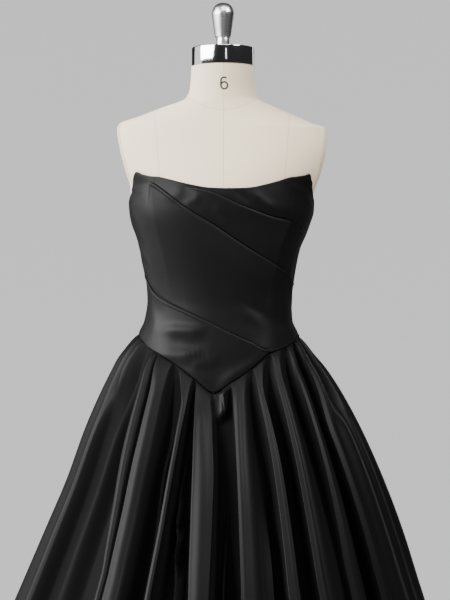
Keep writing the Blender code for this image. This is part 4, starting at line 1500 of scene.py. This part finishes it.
# The soft lights: where each is, the height on the form's axis that it faces, its size, and the
# setting that its power comes from, with a share of it.
SOFT_LIGHTS = (
    ("key", (-2.76, -1.41, 2.6), 1.1, (3.4, 2.4), "key_watts", 1.0),
    ("high_front", (0.3, -2.2, 4.7), 1.4, (2.4, 1.6), "fill_watts", 1.0),
    ("high_right", (2.4, -1.5, 3.7), 1.4, (1.2, 1.2), "fill_watts", 1.6),
    ("left_wall", (-3.0, 0.9, 1.5), 1.1, (2.4, 2.4), "wall_watts", 1.0),
    ("front_strip", (0.62, -3.1, 1.9), 1.1, (0.12, 1.0), "wall_watts", 0.1),
    ("right_strip", (1.6, 2.6, 1.5), 1.1, (0.5, 2.0), "wall_watts", 0.25),
)


def add_softbox(name, at, height, size, watts):
    """A large soft light that faces the form's axis at a height."""
    light = bpy.data.lights.new(name, "AREA")
    light.shape = "RECTANGLE"
    light.size, light.size_y = size
    light.energy = watts
    lamp = bpy.data.objects.new(name, light)
    lamp.location = at
    lamp.rotation_mode = "QUATERNION"
    lamp.rotation_quaternion = (Vector((0.0, 0.0, height)) - Vector(at)).to_track_quat("-Z", "Y")
    bpy.context.scene.collection.objects.link(lamp)


class STAGE_OT_studio(Operator):
    """Make the floor, the grey backdrop, the soft lights and the camera"""

    bl_idname = "gown_stage.studio"
    bl_label = "Studio"

    def execute(self, context):
        sizes, tones = studio_sizes(), colours()
        scene = context.scene
        self.add_surroundings(scene, tones)
        world = bpy.data.worlds.new("room")
        world.use_nodes = True
        background = world.node_tree.nodes["Background"]
        background.inputs["Color"].default_value = (1.0, 1.0, 1.0, 1.0)
        background.inputs["Strength"].default_value = sizes.room_glow
        scene.world = world
        for name, at, height, size, setting, share in SOFT_LIGHTS:
            add_softbox(name, at, height, size, getattr(sizes, setting) * share)
        camera = bpy.data.cameras.new("camera")
        camera.sensor_width = 36.0
        camera.lens = camera.sensor_width * sizes.camera_distance / sizes.frame_height
        eye = bpy.data.objects.new("camera", camera)
        eye.location = (sizes.camera_x, -sizes.camera_distance, sizes.camera_height)
        eye.rotation_euler = (math.radians(90), 0.0, 0.0)
        scene.collection.objects.link(eye)
        scene.camera = eye
        return {"FINISHED"}

    def add_surroundings(self, scene, tones):
        """A round pale floor, and a dome that only the camera sees."""
        shape = bmesh.new()
        bmesh.ops.create_circle(shape, cap_ends=True, segments=96, radius=3.2)
        mesh = bpy.data.meshes.new("floor")
        shape.to_mesh(mesh)
        shape.free()
        mesh.materials.append(floor_finish())
        floor = bpy.data.objects.new("floor", mesh)
        scene.collection.objects.link(floor)
        shape = bmesh.new()
        bmesh.ops.create_uvsphere(shape, u_segments=64, v_segments=32, radius=16.0)
        mesh = bpy.data.meshes.new("backdrop")
        shape.to_mesh(mesh)
        shape.free()
        mesh.shade_smooth()
        mesh.materials.append(self.backdrop_finish(tones))
        backdrop = bpy.data.objects.new("backdrop", mesh)
        for ray in ("diffuse", "glossy", "transmission", "volume_scatter", "shadow"):
            setattr(backdrop, f"visible_{ray}", False)
        scene.collection.objects.link(backdrop)

    def backdrop_finish(self, tones):
        """Grey paper shown as a glow, with painted light a little lighter towards the floor."""
        finish = Finish("grey_paper")
        whole = finish.whole_place()
        height = finish.axes(whole)[2]
        # Painted light: the glow is a little lighter towards the floor.
        fade = (height * -0.12 + 0.5).maths("ADD", 0.0, clamp=True)
        tone = tuple(tones.backdrop)
        colour = finish.blend(fade, scaled(tone, 0.97),
                              scaled(tone, 1.04))
        return finish.set({"Base Color": (0.0, 0.0, 0.0), "Emission Color": colour,
                           "Emission Strength": 1.0, "Roughness": 1.0,
                           "Specular IOR Level": 0.0})


OPERATORS = (GOWN_OT_bodice, GOWN_OT_skirt, GOWN_OT_zip, GOWN_OT_stitching, FORM_OT_cover,
             FORM_OT_fittings, STAGE_OT_studio)


class GOWN_PT_panel(Panel):
    """Lists the steps that make the gown, its form and the studio."""

    bl_idname = "GOWN_PT_panel"
    bl_label = "Gown"
    bl_space_type = "VIEW_3D"
    bl_region_type = "UI"
    bl_category = "Gown"

    def draw(self, context):
        for step in OPERATORS:
            self.layout.operator(step.bl_idname)
        for name in ("gown_sizes", "form_sizes", "finish_colours", "studio_sizes"):
            group = getattr(context.scene, name)
            column = self.layout.column()
            for key in group.__annotations__:
                column.prop(group, key)


GROUPS = (("gown_sizes", GownSizes), ("form_sizes", FormSizes),
          ("finish_colours", FinishColours), ("studio_sizes", StudioSizes))


def register():
    for name, group in GROUPS:
        bpy.utils.register_class(group)
        setattr(bpy.types.Scene, name, PointerProperty(type=group))
    for step in (*OPERATORS, GOWN_PT_panel):
        bpy.utils.register_class(step)


def unregister():
    for step in reversed((*OPERATORS, GOWN_PT_panel)):
        bpy.utils.unregister_class(step)
    for name, group in reversed(GROUPS):
        delattr(bpy.types.Scene, name)
        bpy.utils.unregister_class(group)


def main():
    register()
    bpy.ops.gown.bodice()
    bpy.ops.gown.skirt()
    bpy.ops.gown.zip()
    bpy.ops.gown.stitching()
    bpy.ops.dress_form.cover()
    bpy.ops.dress_form.fittings()
    bpy.ops.gown_stage.studio()


if __name__ == "__main__":
    main()
